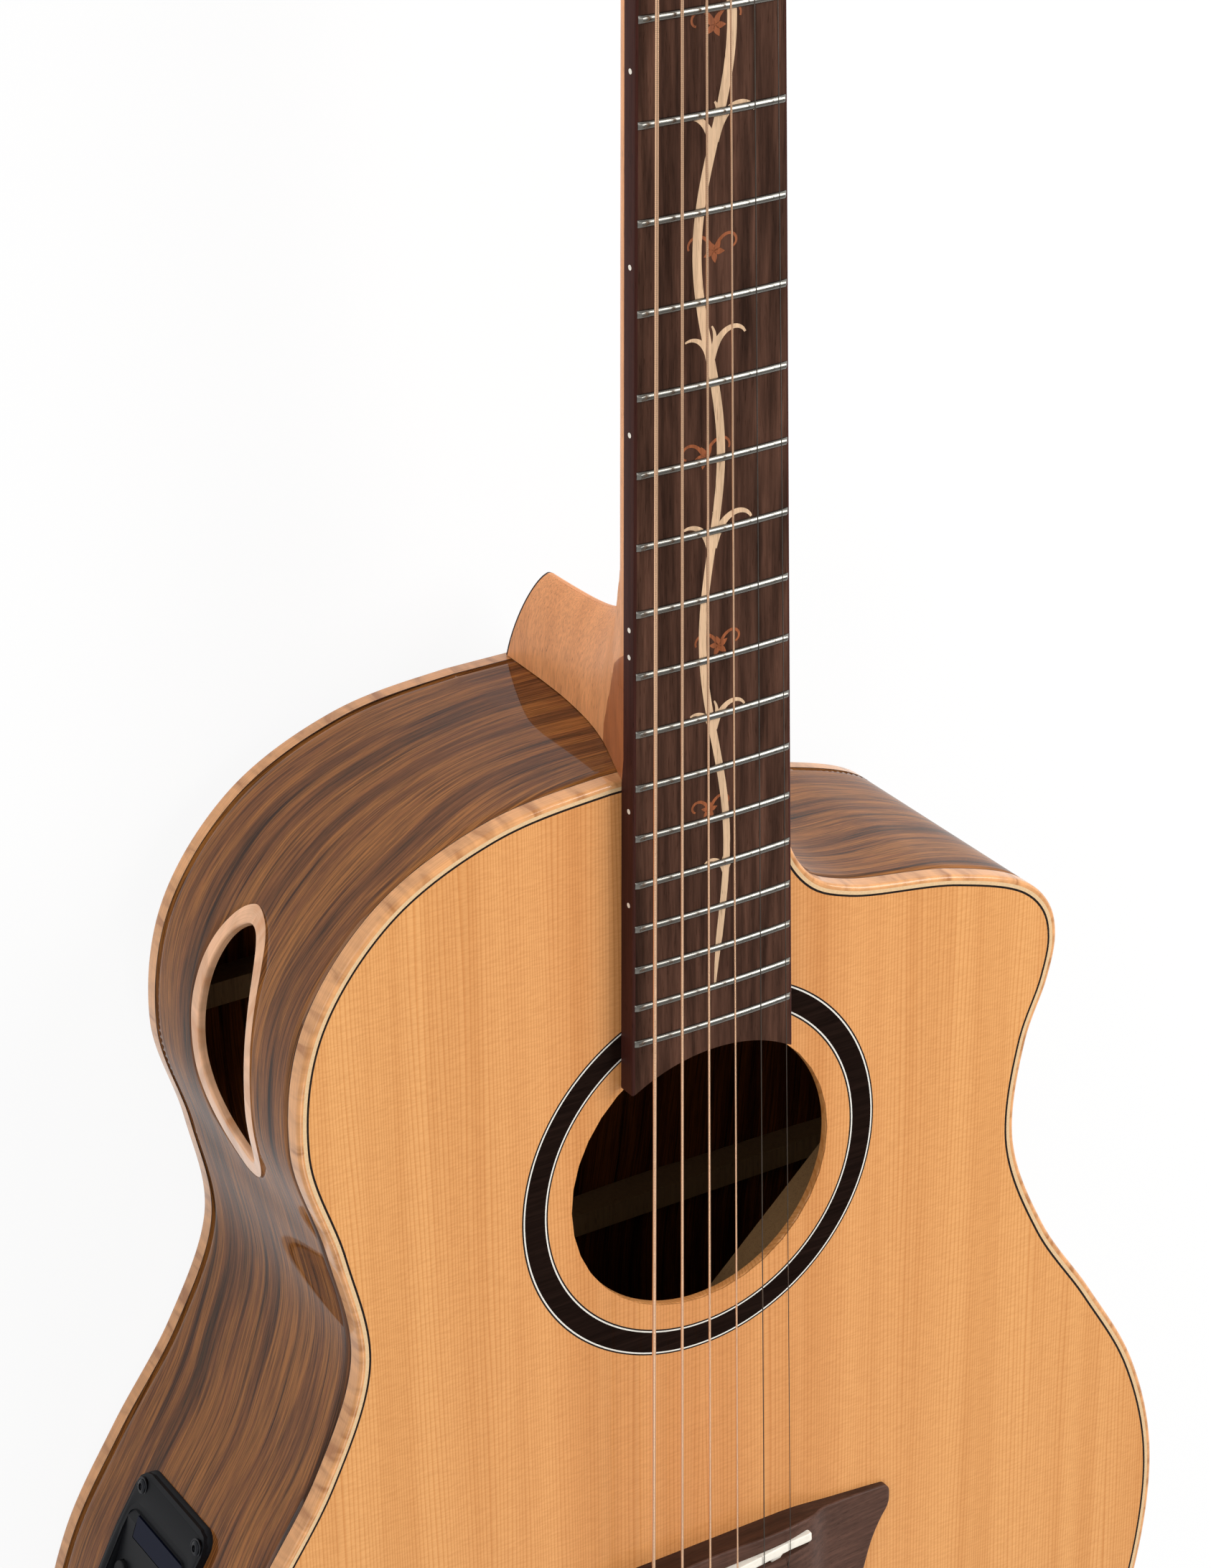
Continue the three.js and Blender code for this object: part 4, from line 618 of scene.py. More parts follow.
def polar(ring, centre, stretch, angles):
    """Points of a star-shaped ring in the given directions from a centre, on stretched axes."""
    out = (ring - centre) / stretch
    out = spaced(np.vstack([out, out[:1]]), 600)[:-1]
    found = np.unwrap(np.arctan2(out[:, 1], out[:, 0]))
    if found[-1] < found[0]:
        out, found = out[::-1], found[::-1]
    far = np.linalg.norm(out, axis=1)
    turn = found[0] + np.mod(angles - found[0], 2 * np.pi)
    radius = np.interp(turn, np.append(found, found[0] + 2 * np.pi), np.append(far, far[0]))
    return centre + stretch * radius[:, None] * np.stack([np.cos(angles), np.sin(angles)], -1)


def pierced(columns, rows, holes):
    """Cells of a wall with holes: a hole's window of cells gives way to rings from the window to the hole."""
    across, up = np.meshgrid(columns, rows, indexing="ij")
    flat = np.stack([across, up], -1)
    keep = np.ones((len(columns) - 1, len(rows) - 1), bool)
    patches = []
    for hole in holes:
        low, high = hole.min(0), hole.max(0)
        i0, i1 = np.searchsorted(columns, low[0]) - 2, np.searchsorted(columns, high[0]) + 1
        j0, j1 = np.searchsorted(rows, low[1]) - 2, np.searchsorted(rows, high[1]) + 1
        keep[i0:i1, j0:j1] = False
        edge = np.vstack([
            flat[i0:i1, j0], flat[i1, j0:j1], flat[i1:i0:-1, j1], flat[i0, j1:j0:-1],
        ])
        centre, stretch = (low + high) / 2, (high - low) / 2
        out = (edge - centre) / stretch
        inner = polar(hole, centre, stretch, np.arctan2(out[:, 1], out[:, 0]))
        shares = np.linspace(0, 1, 5)[:, None, None]
        patches.append(closed(edge[None] * (1 - shares) + inner[None] * shares))
    return flat, keep, patches


# Finishes: one function adds a node, and each finish is worked out from the real surface


def put(tree, kind, inputs=(), **options):
    """Add one node with its options, fill or link its inputs by name or number, and give its first output."""
    made = tree.nodes.new("ShaderNode" + kind)
    for key, value in options.items():
        if key == "stops":
            while len(made.color_ramp.elements) < len(value):
                made.color_ramp.elements.new(1.0)
            for element, (place, tone) in zip(made.color_ramp.elements, value):
                element.position, element.color = place, tone
        else:
            setattr(made, key, value)
    for key, value in dict(inputs).items():
        if isinstance(value, bpy.types.NodeSocket):
            tree.links.new(value, made.inputs[key])
        else:
            made.inputs[key].default_value = value
    return made.outputs[0] if made.outputs else made


def new_finish(name):
    """A material with nothing in it yet but its output."""
    made = bpy.data.materials.new(name)
    made.use_nodes = True
    made.node_tree.nodes.clear()
    return made, made.node_tree


def shaded(tree, colour, normal=None, **values):
    """Principled shader with its plain values on its own sockets."""
    inputs = {key.replace("_", " "): value for key, value in values.items()}
    inputs["Base Color"] = colour
    if normal is not None:
        inputs["Normal"] = normal
    put(tree, "OutputMaterial", {"Surface": put(tree, "BsdfPrincipled", inputs)})


def toned(base, light):
    """A base colour made lighter or darker, with full cover."""
    return (*[min(1.0, channel * light) for channel in base], 1.0)


def stained(tree, tone, *stains, share=1.0):
    """Multiply a tone by one stain after another, each laid on by the same share."""
    for stain in stains:
        both = put(tree, "Mix", {0: share, 6: tone, 7: stain}, data_type="RGBA", blend_type="MULTIPLY")
        tone = both.node.outputs[2]
    return tone


def streaks(tree, where, across, along, detail=4.0, roughness=0.5, shift=(0, 0, 0)):
    """Noise drawn out along the grain: across and along are the sizes of a streak in millimetres."""
    scale = [1 / (size * MM) for size in (along, across, across)]
    placed = put(tree, "Mapping", {"Vector": where, "Scale": scale, "Location": shift})
    return put(tree, "TexNoise", {"Vector": placed, "Scale": 1.0, "Detail": detail, "Roughness": roughness})


def varnished_spruce(colours):
    """Straight-grained spruce under gloss varnish, bookmatched, darker and redder towards its middle line.

    The eye sees fine late-wood lines, and silk shimmering across them.
    """
    made, tree = new_finish("varnished_spruce")
    base = colours.spruce
    where = put(tree, "TexCoord").node.outputs["Object"]
    axes = put(tree, "SeparateXYZ", {0: where})
    mirrored = put(tree, "Math", {0: axes.node.outputs["X"]}, operation="ABSOLUTE")
    grain = put(tree, "CombineXYZ", {"X": axes.node.outputs["Y"], "Y": mirrored, "Z": axes.node.outputs["Z"]})
    drift = streaks(tree, grain, 20, 500, detail=2)
    wander = put(tree, "Math", {0: drift, 1: 0.016, 2: mirrored}, operation="MULTIPLY_ADD")
    ring = put(tree, "CombineXYZ", {"X": wander})
    year = 1.25 * MM
    rings = put(tree, "TexWave", {"Vector": ring, "Scale": BAND / year}, wave_profile="SAW")
    rings = rings.node.outputs["Fac"]
    late = put(tree, "ValToRGB", {0: rings}, stops=[
        (0.0, toned(base, 1.03)), (0.55, toned(base, 1.0)),
        (0.9, (base[0] * 0.85, base[1] * 0.74, base[2] * 0.6, 1)), (1.0, toned(base, 0.96)),
    ])
    broad = put(tree, "ValToRGB", {0: streaks(tree, grain, 9, 700, detail=4)}, stops=[
        (0.3, (0.91, 0.86, 0.79, 1)), (0.5, (1, 1, 1, 1)), (0.7, (1.05, 1.08, 1.11, 1)),
    ])
    silk_where = put(tree, "Mapping", {"Vector": grain, "Scale": (1 / (0.7 * MM), 1 / (5 * MM), 0)})
    silk = put(tree, "TexNoise", {"Vector": silk_where, "Scale": 1.0, "Detail": 3.0, "Distortion": 0.8})
    silk = put(tree, "ValToRGB", {0: silk}, stops=[
        (0.35, (0.94, 0.92, 0.89, 1)), (0.62, (1.03, 1.04, 1.05, 1)),
    ])
    joint = put(tree, "MapRange", {0: mirrored, 2: 0.11, 3: 0.955, 4: 1.03})
    warm = put(tree, "MapRange", {0: mirrored, 2: 0.11, 3: 0.91, 4: 1.06})
    middle_tint = put(tree, "CombineXYZ", {"X": joint, "Y": warm, "Z": warm})
    tone = stained(tree, late, broad, silk, middle_tint)
    bump = put(tree, "Bump", {"Height": rings, "Strength": 0.04, "Distance": 0.02 * MM})
    shaded(
        tree, tone, bump, Roughness=0.42, IOR=1.5, Specular_IOR_Level=0.2, Coat_Weight=0.6,
        Coat_Roughness=0.1, Coat_IOR=1.5,
    )
    return made


def rosewood_tone(tree, base, where):
    """Flowing rosewood figure on the grain map: dark ink lines, golden bands and fine fibre."""
    bend = put(tree, "TexNoise", {"Vector": where, "Scale": 4.5, "Detail": 2.0}).node.outputs["Color"]
    bend = put(tree, "VectorMath", {0: bend, 1: (0, 0.055, 0), 2: where}, operation="MULTIPLY_ADD")
    bands = streaks(tree, bend, 15, 260, detail=10, roughness=0.72)
    gold = (base[0] * 1.6, base[1] * 1.75, base[2] * 1.45, 1)
    dark = (base[0] * 0.2, base[1] * 0.27, base[2] * 0.36, 1)
    tone = put(tree, "ValToRGB", {0: bands}, stops=[
        (0.36, dark), (0.43, toned(base, 0.7)), (0.48, toned(base, 1.0)), (0.54, gold),
        (0.61, toned(base, 1.05)), (0.68, toned(base, 0.5)),
    ])
    lines = streaks(tree, bend, 4, 160, detail=8, roughness=0.7, shift=(3, 7, 0))
    ink = put(tree, "ValToRGB", {0: lines}, stops=[
        (0.37, (0.22, 0.22, 0.24, 1)), (0.43, (0.7, 0.68, 0.68, 1)), (0.48, (1, 1, 1, 1)),
    ])
    fibre = put(tree, "ValToRGB", {0: streaks(tree, bend, 0.7, 30, detail=6, roughness=0.7)}, stops=[
        (0.38, (0.5, 0.48, 0.46, 1)), (0.5, (1, 1, 1, 1)), (0.62, (1.4, 1.38, 1.3, 1)),
    ])
    return stained(tree, tone, ink, fibre)


def varnished_rosewood(colours):
    """Rosewood sides and back under a deep gloss, which mirrors the room at low angles."""
    made, tree = new_finish("varnished_rosewood")
    where = put(tree, "UVMap", uv_map=GRAIN)
    tone = rosewood_tone(tree, colours.rosewood, where)
    shaded(
        tree, tone, Roughness=0.6, IOR=1.5, Specular_IOR_Level=0.0, Coat_Weight=0.48, Coat_Roughness=0.04,
        Coat_IOR=1.5,
    )
    return made


def shaded_bare_rosewood(colours):
    """The same wood unfinished inside the box: dull, and darkened by a stain that is painted shade inside the
    box.
    """
    made, tree = new_finish("shaded_bare_rosewood")
    where = put(tree, "UVMap", uv_map=GRAIN)
    # Painted shade: this stain darkens the inner faces of the sides and back and the soundport's inside.
    tone = stained(tree, rosewood_tone(tree, colours.rosewood, where), (0.55, 0.41, 0.26, 1))
    shaded(tree, tone, Roughness=0.75, Specular_IOR_Level=0.05)
    return made


def flamed_maple(base, name, bar, dark):
    """Gloss maple with flame: soft slanting bars of a given width across the grain, fibre along it."""
    made, tree = new_finish(name)
    where = put(tree, "UVMap", uv_map=GRAIN)
    bars = put(tree, "Mapping", {
        "Vector": where, "Scale": (1 / bar, 1 / (4 * bar), 0), "Rotation": (0, 0, 0.35),
    })
    flame = put(tree, "TexNoise", {"Vector": bars, "Scale": 1.0, "Detail": 3.0, "Distortion": 0.5})
    tone = put(tree, "ValToRGB", {0: flame}, stops=[
        (0.32, (base[0] * dark, base[1] * dark * 0.84, base[2] * dark * 0.68, 1)), (0.46, toned(base, 0.94)),
        (0.62, toned(base, 1.14)),
    ])
    fibre = put(tree, "ValToRGB", {0: streaks(tree, where, 0.5, 12, detail=2)}, stops=[
        (0.35, (0.9, 0.87, 0.84, 1)), (0.6, (1.02, 1.02, 1.02, 1)),
    ])
    tone = stained(tree, tone, fibre)
    shaded(
        tree, tone, Roughness=0.4, IOR=1.5, Specular_IOR_Level=0.1, Coat_Weight=0.7, Coat_Roughness=0.06,
        Coat_IOR=1.5,
    )
    return made


def solid_wood(
    name, base, across, along, axis, dark, light, roughness, coat=0.0, coat_roughness=0.2, rings=0.0,
    level=0.3, facet=None,
):
    """Open-pored hardwood read through the solid: streaks, fibre and dark pores along one axis.

    Sizes are in millimetres. Where the grain map falls below zero, a facet stain darkens the tone: painted
    shade on a facet that faces away from the light.
    """
    made, tree = new_finish(name)
    where = put(tree, "TexCoord").node.outputs["Object"]
    axes = put(tree, "SeparateXYZ", {0: where})
    order = {"X": "XYZ", "Y": "YXZ", "Z": "ZXY"}[axis]
    grain = put(tree, "CombineXYZ", {i: axes.node.outputs[a] for i, a in enumerate(order)})
    tone = put(tree, "ValToRGB", {0: streaks(tree, grain, across, along, detail=5, roughness=0.6)}, stops=[
        (0.32, toned(base, dark)), (0.5, toned(base, 1.0)), (0.68, toned(base, light)),
    ])
    fibre = streaks(tree, grain, across / 7, along / 5, detail=3)
    fine = put(tree, "ValToRGB", {0: fibre}, stops=[
        (0.34, (0.8, 0.78, 0.76, 1)), (0.6, (1.06, 1.06, 1.06, 1)),
    ])
    pores = put(tree, "ValToRGB", {0: streaks(tree, grain, 0.4, 5, detail=1)}, stops=[
        (0.27, (0.55, 0.5, 0.46, 1)), (0.36, (1, 1, 1, 1)),
    ])
    tone = stained(tree, tone, fine, pores, share=0.8)
    if rings:
        layers = put(tree, "Mapping", {"Vector": where, "Rotation": (0.5, 0.35, 0)})
        wave = put(tree, "TexWave", {
            "Vector": layers, "Scale": BAND / (rings * MM), "Distortion": 3.0, "Detail": 2.0,
            "Detail Scale": 0.6,
        }, bands_direction="Z").node.outputs["Fac"]
        ring = put(tree, "ValToRGB", {0: wave}, stops=[
            (0.2, (1.02, 1.02, 1.02, 1)), (0.9, (0.94, 0.92, 0.9, 1)),
        ])
        tone = stained(tree, tone, ring, share=0.8)
    # Painted shade: the facet stain darkens the heel's facet beside the fretboard, where shade falls.
    if facet:
        chart = put(tree, "UVMap", uv_map=GRAIN)
        over = put(tree, "SeparateXYZ", {0: chart}).node.outputs["Y"]
        within = put(tree, "MapRange", {0: over, 1: -0.1 * MM, 2: -0.5 * MM})
        tone = stained(tree, tone, facet, share=within)
    bump = put(tree, "Bump", {"Height": fibre, "Strength": 0.15, "Distance": 0.05 * MM})
    shaded(
        tree, tone, bump, Roughness=roughness, IOR=1.5, Specular_IOR_Level=level, Coat_Weight=coat,
        Coat_Roughness=coat_roughness,
    )
    return made


def plain_finish(
    name, code, roughness, metallic=0.0, spot=0.6, swing=0.08, coat=0.0, bump=0.0, level=0.5,
):
    """A made surface: colour and sheen vary a little over spots of a size in mm, as moulding leaves it."""
    made, tree = new_finish(name)
    base = linear(code)
    where = put(tree, "TexCoord").node.outputs["Object"]
    cloud = put(tree, "TexNoise", {"Vector": where, "Scale": 1 / (spot * MM), "Detail": 2.0})
    tone = put(tree, "ValToRGB", {0: cloud}, stops=[
        (0.3, toned(base, 1 - swing)), (0.7, toned(base, 1 + swing)),
    ])
    sheen = put(tree, "MapRange", {0: cloud, 3: roughness * 0.85, 4: min(1.0, roughness * 1.15)})
    normal = None
    if bump:
        normal = put(tree, "Bump", {"Height": cloud, "Strength": 0.3, "Distance": bump * MM})
    shaded(
        tree, tone, normal, Roughness=sheen, Metallic=metallic, Specular_IOR_Level=level, Coat_Weight=coat,
        Coat_Roughness=0.05,
    )
    return made


def wound_bronze(colours, pitch):
    """Bronze wire wound on steel: the turns are drawn across the string from its grain map."""
    made, tree = new_finish("wound_bronze")
    where = put(tree, "UVMap", uv_map=GRAIN)
    turns = put(tree, "TexWave", {"Vector": where, "Scale": BAND / pitch}).node.outputs["Fac"]
    stops = [(at, toned(colours.bronze, light)) for at, light in ((0.0, 0.75), (0.4, 0.97), (1.0, 1.04))]
    tone = put(tree, "ValToRGB", {0: turns}, stops=stops)
    bump = put(tree, "Bump", {"Height": turns, "Strength": 0.12, "Distance": 0.1 * MM})
    shaded(tree, tone, bump, Roughness=0.3, Metallic=1.0)
    return made


finishes = {}


def make_finishes(context):
    """Make every material once, from the panel's colours."""
    tones = settings(context, "colours")
    made = [
        varnished_spruce(tones), varnished_rosewood(tones), shaded_bare_rosewood(tones),
        flamed_maple(tones.maple, "flamed_maple", 5 * MM, 0.64),
        flamed_maple(tones.ring_maple, "port_maple", 9 * MM, 0.86),
        wound_bronze(tones, settings(context, "strings").winding),
    ]
    # Name, colour, streaks across and along, grain axis, dark and light tones, roughness, and the rest
    for *row, rest in (
        ("fretboard_rosewood", tones.dark_board, 3.6, 50, "Y", 0.42, 1.7, 0.5, {"level": 0.03}),
        ("bound_edge_wood", tones.bound_edge, 2, 80, "Y", 0.75, 1.2, 0.35, {"level": 0.08}),
        # The facet stain on satin_mahogany is painted shade on the heel's facet beside the fretboard.
        ("satin_mahogany", tones.mahogany, 4, 50, "Y", 0.93, 1.05, 0.42,
         {"rings": 14, "facet": (0.52, 0.37, 0.28, 1)}),
        ("bridge_rosewood", tones.bridge, 1.4, 30, "X", 0.66, 1.35, 0.42, {"level": 0.12}),
        # Painted shade: the flank material is a darker copy of the bridge wood for the shaded front wall and
        # flanks.
        ("bridge_flank_rosewood", linear("#3c251a"), 1.4, 30, "X", 0.66, 1.35, 0.42, {"level": 0.12}),
        ("bare_spruce", linear("#8a6a45"), 1.5, 200, "Y", 0.88, 1.06, 0.7, {}),
        ("bare_mahogany", linear("#a26a45"), 3, 60, "Y", 0.85, 1.1, 0.6, {}),
        ("turned_ebony", linear("#1c1614"), 1, 30, "Z", 0.8, 1.25, 0.3, {"coat": 0.3, "level": 0.2}),
        ("ring_ebony", linear("#1b110d"), 1.6, 50, "X", 0.7, 1.5, 0.4,
         {"coat": 0.06, "coat_roughness": 0.06, "level": 0.0}),
        ("cap_wood", linear("#2e1a14"), 1.6, 50, "Y", 0.8, 1.2, 0.4, {"level": 0.15}),
        ("head_veneer", tones.rosewood, 6, 150, "Y", 0.55, 1.3, 0.35, {"coat": 0.4, "coat_roughness": 0.06}),
        ("red_inlay_wood", tones.red_inlay, 1.2, 20, "Y", 0.75, 1.25, 0.45, {}),
        ("pale_inlay_wood", tones.pale_inlay, 1.2, 30, "Y", 0.84, 1.1, 0.45, {}),
    ):
        made.append(solid_wood(*row, **rest))
    # Name, colour, roughness, and the rest
    for *row, rest in (
        ("pale_line", "#dcb98c", 0.35, {"coat": 0.3}),
        ("white_line", "#e6e2d8", 0.35, {"coat": 0.5}),
        ("dark_line", "#1c1310", 0.35, {"coat": 0.2, "level": 0.1}),
        ("polished_bone", "#efe8da", 0.32, {"spot": 2, "swing": 0.04}),
        ("nickel_silver", "#85827b", 0.27, {"metallic": 1.0, "spot": 10, "swing": 0.03}),
        ("chrome_plate", "#dcdddf", 0.08, {"metallic": 1.0, "spot": 4, "swing": 0.02}),
        ("plain_steel", "#6a635c", 0.3, {"metallic": 1.0, "spot": 10}),
        ("black_abs", "#17181b", 0.45, {"spot": 0.4, "swing": 0.12, "bump": 0.02, "level": 0.12}),
        ("knob_rubber", "#141416", 0.6, {"spot": 0.3, "swing": 0.15, "bump": 0.03, "level": 0.2}),
        ("display_glass", "#14182a", 0.2, {"spot": 10, "swing": 0.05, "level": 0.04}),
        ("painted_can", "#43464c", 0.4, {"spot": 3}),
        ("black_screw", "#26272a", 0.3, {"metallic": 1.0}),
    ):
        made.append(plain_finish(*row, **rest))
    finishes.update({material.name: material for material in made})


class GUITAR_OT_finishes(bpy.types.Operator):
    """Make the materials that every piece takes"""

    bl_idname = "guitar.finishes"
    bl_label = "Finishes"

    def execute(self, context):
        make_finishes(context)
        return {"FINISHED"}


class GUITAR_OT_top(bpy.types.Operator):
    """Finish the soundboard: its soundhole edge, rosette, top binding and the lines inside it"""

    bl_idname = "guitar.top"
    bl_label = "Top"

    def execute(self, context):
        body, neck = settings(context, "body", "neck")
        wear("varnished_spruce", "soundboard")
        ring = body_outline(body, neck)
        lines = ["flamed_maple", "dark_line", "pale_line"]
        profile, tones = binding_profile(body)
        piece(
            "binding_top_edge", [carried(ring, profile[:, 0], profile[:, 1], [tones])], lines, "maple",
            replaces=["binding_top"],
        )
        centre = [0, -body.soundhole_from_nut, 0]
        line, radius = body.rosette_line, body.soundhole_radius - 0.25 * MM
        round_edge = 1.1 * MM
        low = -body.top_thickness - 0.05 * MM
        edge = [[radius + 1.6 * MM, low], [radius, low]]
        angle = np.linspace(0, np.pi / 2, 7)
        arc = np.stack([radius + round_edge * (1 - np.cos(angle)), round_edge * (np.sin(angle) - 1)], -1)
        edge += [*arc.tolist(), [radius + 2.2 * MM, 0.015 * MM]]
        piece(
            "soundhole_edge", [surface(turned(edge, 160) + centre)], ["varnished_spruce"], "spruce",
        )
        flush = 0.05 * MM
        radii = [body.rosette_inner - 2 * line, body.rosette_inner - line, body.rosette_inner]
        radii += [body.rosette_outer, body.rosette_outer + line, body.rosette_outer + 2 * line]
        profile = [[radii[0], -0.4 * MM], *[[r, flush] for r in radii], [radii[-1], -0.4 * MM]]
        tones = np.array([1, 1, 2, 0, 2, 1, 1])[:, None]
        piece(
            "rosette_ring", [surface(turned(profile, 180) + centre, tones)],
            ["ring_ebony", "dark_line", "white_line"], "dark_wood",
            replaces=["rosette"], facing=(0, 0, 1),
        )
        return {"FINISHED"}


def preamp_place(context):
    """The preamp's axes and middle from the frame's joints, in drawing coordinates."""
    sizes = settings(context, "preamp")
    outward = np.array(joints["battery_tray_slide"]["axis"], float)
    outward /= np.linalg.norm(outward)
    up = np.array([0.0, 0.0, 1.0])
    along = np.cross(up, -outward)
    along = -along if along[1] > 0 else along
    middle = np.array(joints["volume_turn"]["pos_m"], float) - sizes.volume_x * along - sizes.volume_rise * up
    return along, -outward, up, middle - TO_FRAME


def wall_reader(ring):
    """Reads the side wall at a distance along it: its point and its outward direction."""
    way = travelled(np.vstack([ring, ring[:1]]))
    line = np.vstack([ring, ring[:1]])

    def at(s):
        point = np.stack([np.interp(s, way, line[:, k]) for k in range(2)], -1)
        ahead = np.stack([np.interp(s + 2 * MM, way, line[:, k]) for k in range(2)], -1)
        behind = np.stack([np.interp(s - 2 * MM, way, line[:, k]) for k in range(2)], -1)
        run = ahead - behind
        run /= np.linalg.norm(run, axis=-1, keepdims=True)
        return point, np.stack([run[..., 1], -run[..., 0]], -1)

    return way, at


def domed_back(body, neck, ring):
    """The back: rings shrink to its middle and sink by one minus the square of their share."""
    edge = moved_in(ring, body.binding_width)
    centre = np.array([0, joint_y(neck) - 0.57 * body.body_length])
    shares = np.linspace(1, 0, 25)
    tables = []
    for lift in (0.0, body.back_thickness):
        plan = centre + (edge[None] - centre) * shares[:, None, None]
        z = edge_z(body, neck, plan[..., 1]) - body.back_dome * (1 - shares[:, None] ** 2) + lift
        table = closed(np.concatenate([plan, z[..., None]], -1))
        grain = np.stack([table[..., 1], np.abs(table[..., 0])], -1)
        tables.append(surface(table, 0 if lift == 0 else 1, grain))
    rim = np.stack([tables[k][0].reshape(25, -1, 3)[0] for k in (0, 1)])
    tables.append(surface(rim, 1))
    piece(
        "back_plate", tables, ["varnished_rosewood", "shaded_bare_rosewood"], "rosewood",
        replaces=["back"],
    )
    strip = 3 * MM
    y = np.linspace(joint_y(neck) - 3 * MM, joint_y(neck) - body.body_length + 3 * MM, 80)
    x = np.linspace(-strip, strip, 7)
    far = np.where(y > centre[1], joint_y(neck), joint_y(neck) - body.body_length)
    share = np.abs(y - centre[1]) / np.abs(far - centre[1])
    z = edge_z(body, neck, y) - body.back_dome * (1 - share**2) - 0.06 * MM
    sheet = np.stack([np.tile(x, (80, 1)), np.tile(y[:, None], (1, 7)), np.tile(z[:, None], (1, 7))], -1)
    piece(
        "back_centre_strip", [surface(sheet, [[1, 0, 0, 0, 0, 1]])],
        ["flamed_maple", "dark_line"], "maple", facing=(0, 0, -1),
    )


class GUITAR_OT_box(bpy.types.Operator):
    """Bend the two sides with their openings, dome the back and bind it"""

    bl_idname = "guitar.box"
    bl_label = "Sides and back"

    def execute(self, context):
        body, neck = settings(context, "body", "neck")
        ring = body_outline(body, neck)
        way, at = wall_reader(ring)
        tail = int(np.argmin(ring[:, 1]))
        rows = np.linspace(0, 1, 25)
        low = body.binding_height + 0.15 * MM

        def wall(s, v):
            """Point of the side at a distance along it and a share of its height."""
            point, _ = at(s)
            top = -low
            bottom = edge_z(body, neck, point[..., 1]) + low
            return np.concatenate([point, (bottom + (top - bottom) * v)[..., None]], -1)

        def height_share(s, z):
            """Share of the wall's height at a distance along it."""
            point, _ = at(s)
            bottom = edge_z(body, neck, point[..., 1]) + low
            return (z - bottom) / (-low - bottom)

        port = port_outline(body, port_ring_shares)
        port = loop_spline(port, 6)
        bass = slice(0, tail + 1)
        s_port = np.interp(-port[:, 0], -ring[bass, 1], way[bass])
        port = np.stack([s_port, height_share(s_port, port[:, 1])], -1)
        sizes = settings(context, "preamp")
        middle = preamp_place(context)[-1]
        s_mid = way[int(np.argmin(np.linalg.norm(ring - middle[:2], axis=1)))]
        window = rounded_rectangle(sizes.well_length / 2 + 1.5 * MM, sizes.well_height / 2 + 1.5 * MM, 3 * MM)
        s_window = s_mid + window[:, 0]
        window = np.stack([s_window, height_share(s_window, middle[2] + window[:, 1])], -1)
        shells = [("side_bass", way[:tail + 1], [port, window]), ("side_treble", way[tail:], [])]
        for name, columns, holes in shells:
            flat, keep, patches = pierced(columns, rows, holes)
            tables = []
            for chart in [flat, *patches]:
                points = wall(chart[..., 0], chart[..., 1])
                grain = np.stack([chart[..., 0], points[..., 2]], -1)
                tables.append(surface(points, 0, grain))
            points, quads, grain, tones = tables[0]
            mask = keep.reshape(-1)
            tables[0] = (points, quads[mask], grain, tones[mask])
            side = piece(
                name + "_wall", tables, ["varnished_rosewood", "shaded_bare_rosewood"], "rosewood",
                replaces=[name],
            )
            outward_side(side, ring.mean(0) + TO_FRAME[:2])
            shell = side.modifiers.new("wall", "SOLIDIFY")
            shell.thickness, shell.offset, shell.material_offset = body.side_thickness, -1, 1
        profile, tones = binding_profile(body, reach=False)
        edges = [edge_z(body, neck, ring[:, 1]) - height for height in profile[:, 1]]
        piece(
            "binding_back_edge", [carried(ring, profile[:, 0], edges, [tones])],
            ["flamed_maple", "dark_line", "pale_line"], "maple",
            replaces=["binding_back"],
        )
        domed_back(body, neck, ring)
        return {"FINISHED"}


def outward_side(obj, middle):
    """Turn an open wall's faces away from the body's middle, seen from above."""
    work = bmesh.new()
    work.from_mesh(obj.data)
    bmesh.ops.recalc_face_normals(work, faces=work.faces)
    score = 0.0
    for face in work.faces:
        point = face.calc_center_median()
        out = Vector((point.x - middle[0], point.y - middle[1], 0))
        score += face.calc_area() * face.normal.dot(out)
    if score < 0:
        bmesh.ops.reverse_faces(work, faces=work.faces)
    work.to_mesh(obj.data)
    work.free()


class GUITAR_OT_soundport(bpy.types.Operator):
    """Let the maple ring of the soundport into the bass side"""

    bl_idname = "guitar.soundport"
    bl_label = "Soundport"

    def execute(self, context):
        body, neck = settings(context, "body", "neck")
        ring = body_outline(body, neck)
        way, at = wall_reader(ring)
        tail = int(np.argmin(ring[:, 1]))
        outer = loop_spline(port_outline(body, port_ring_shares), 8)
        inner = loop_spline(port_outline(body, port_hole_shares), 8)
        low, high = inner.min(0), inner.max(0)
        centre, stretch = (low + high) / 2, (high - low) / 2
        angles = np.linspace(0, 2 * np.pi, 241)
        far, near = (polar(line, centre, stretch, angles) for line in (outer, inner))
        lip, flush = 0.9 * MM, 0.08 * MM
        turn = np.linspace(0, np.pi / 2, 6)
        width = np.linalg.norm(far - near, axis=1).mean()
        shares = [0, 0, 0.35, 1 - lip / width, *(1 - lip / width * (1 - np.sin(turn[1:]))), 1, 1, 0]
        depths = [-0.5 * MM, flush, flush, flush, *(flush - lip * (1 - np.cos(turn[1:])))]
        depths += [-0.7 * body.port_thickness, -body.port_thickness, -body.port_thickness]
        rows = []
        for share, depth in zip(shares, depths):
            chart = far + (near - far) * share
            s = np.interp(-chart[:, 0], -ring[:tail + 1, 1], way[:tail + 1])
            point, outward = at(s)
            flat = point + outward * depth
            rows.append(np.column_stack([flat, chart[:, 1]]))
        piece(
            "soundport_lip", [surface(np.array(rows).transpose(1, 0, 2))], ["port_maple"], "maple",
            replaces=["soundport_ring"],
        )
        return {"FINISHED"}


# Neck: sections across it, each a half width that falls with depth

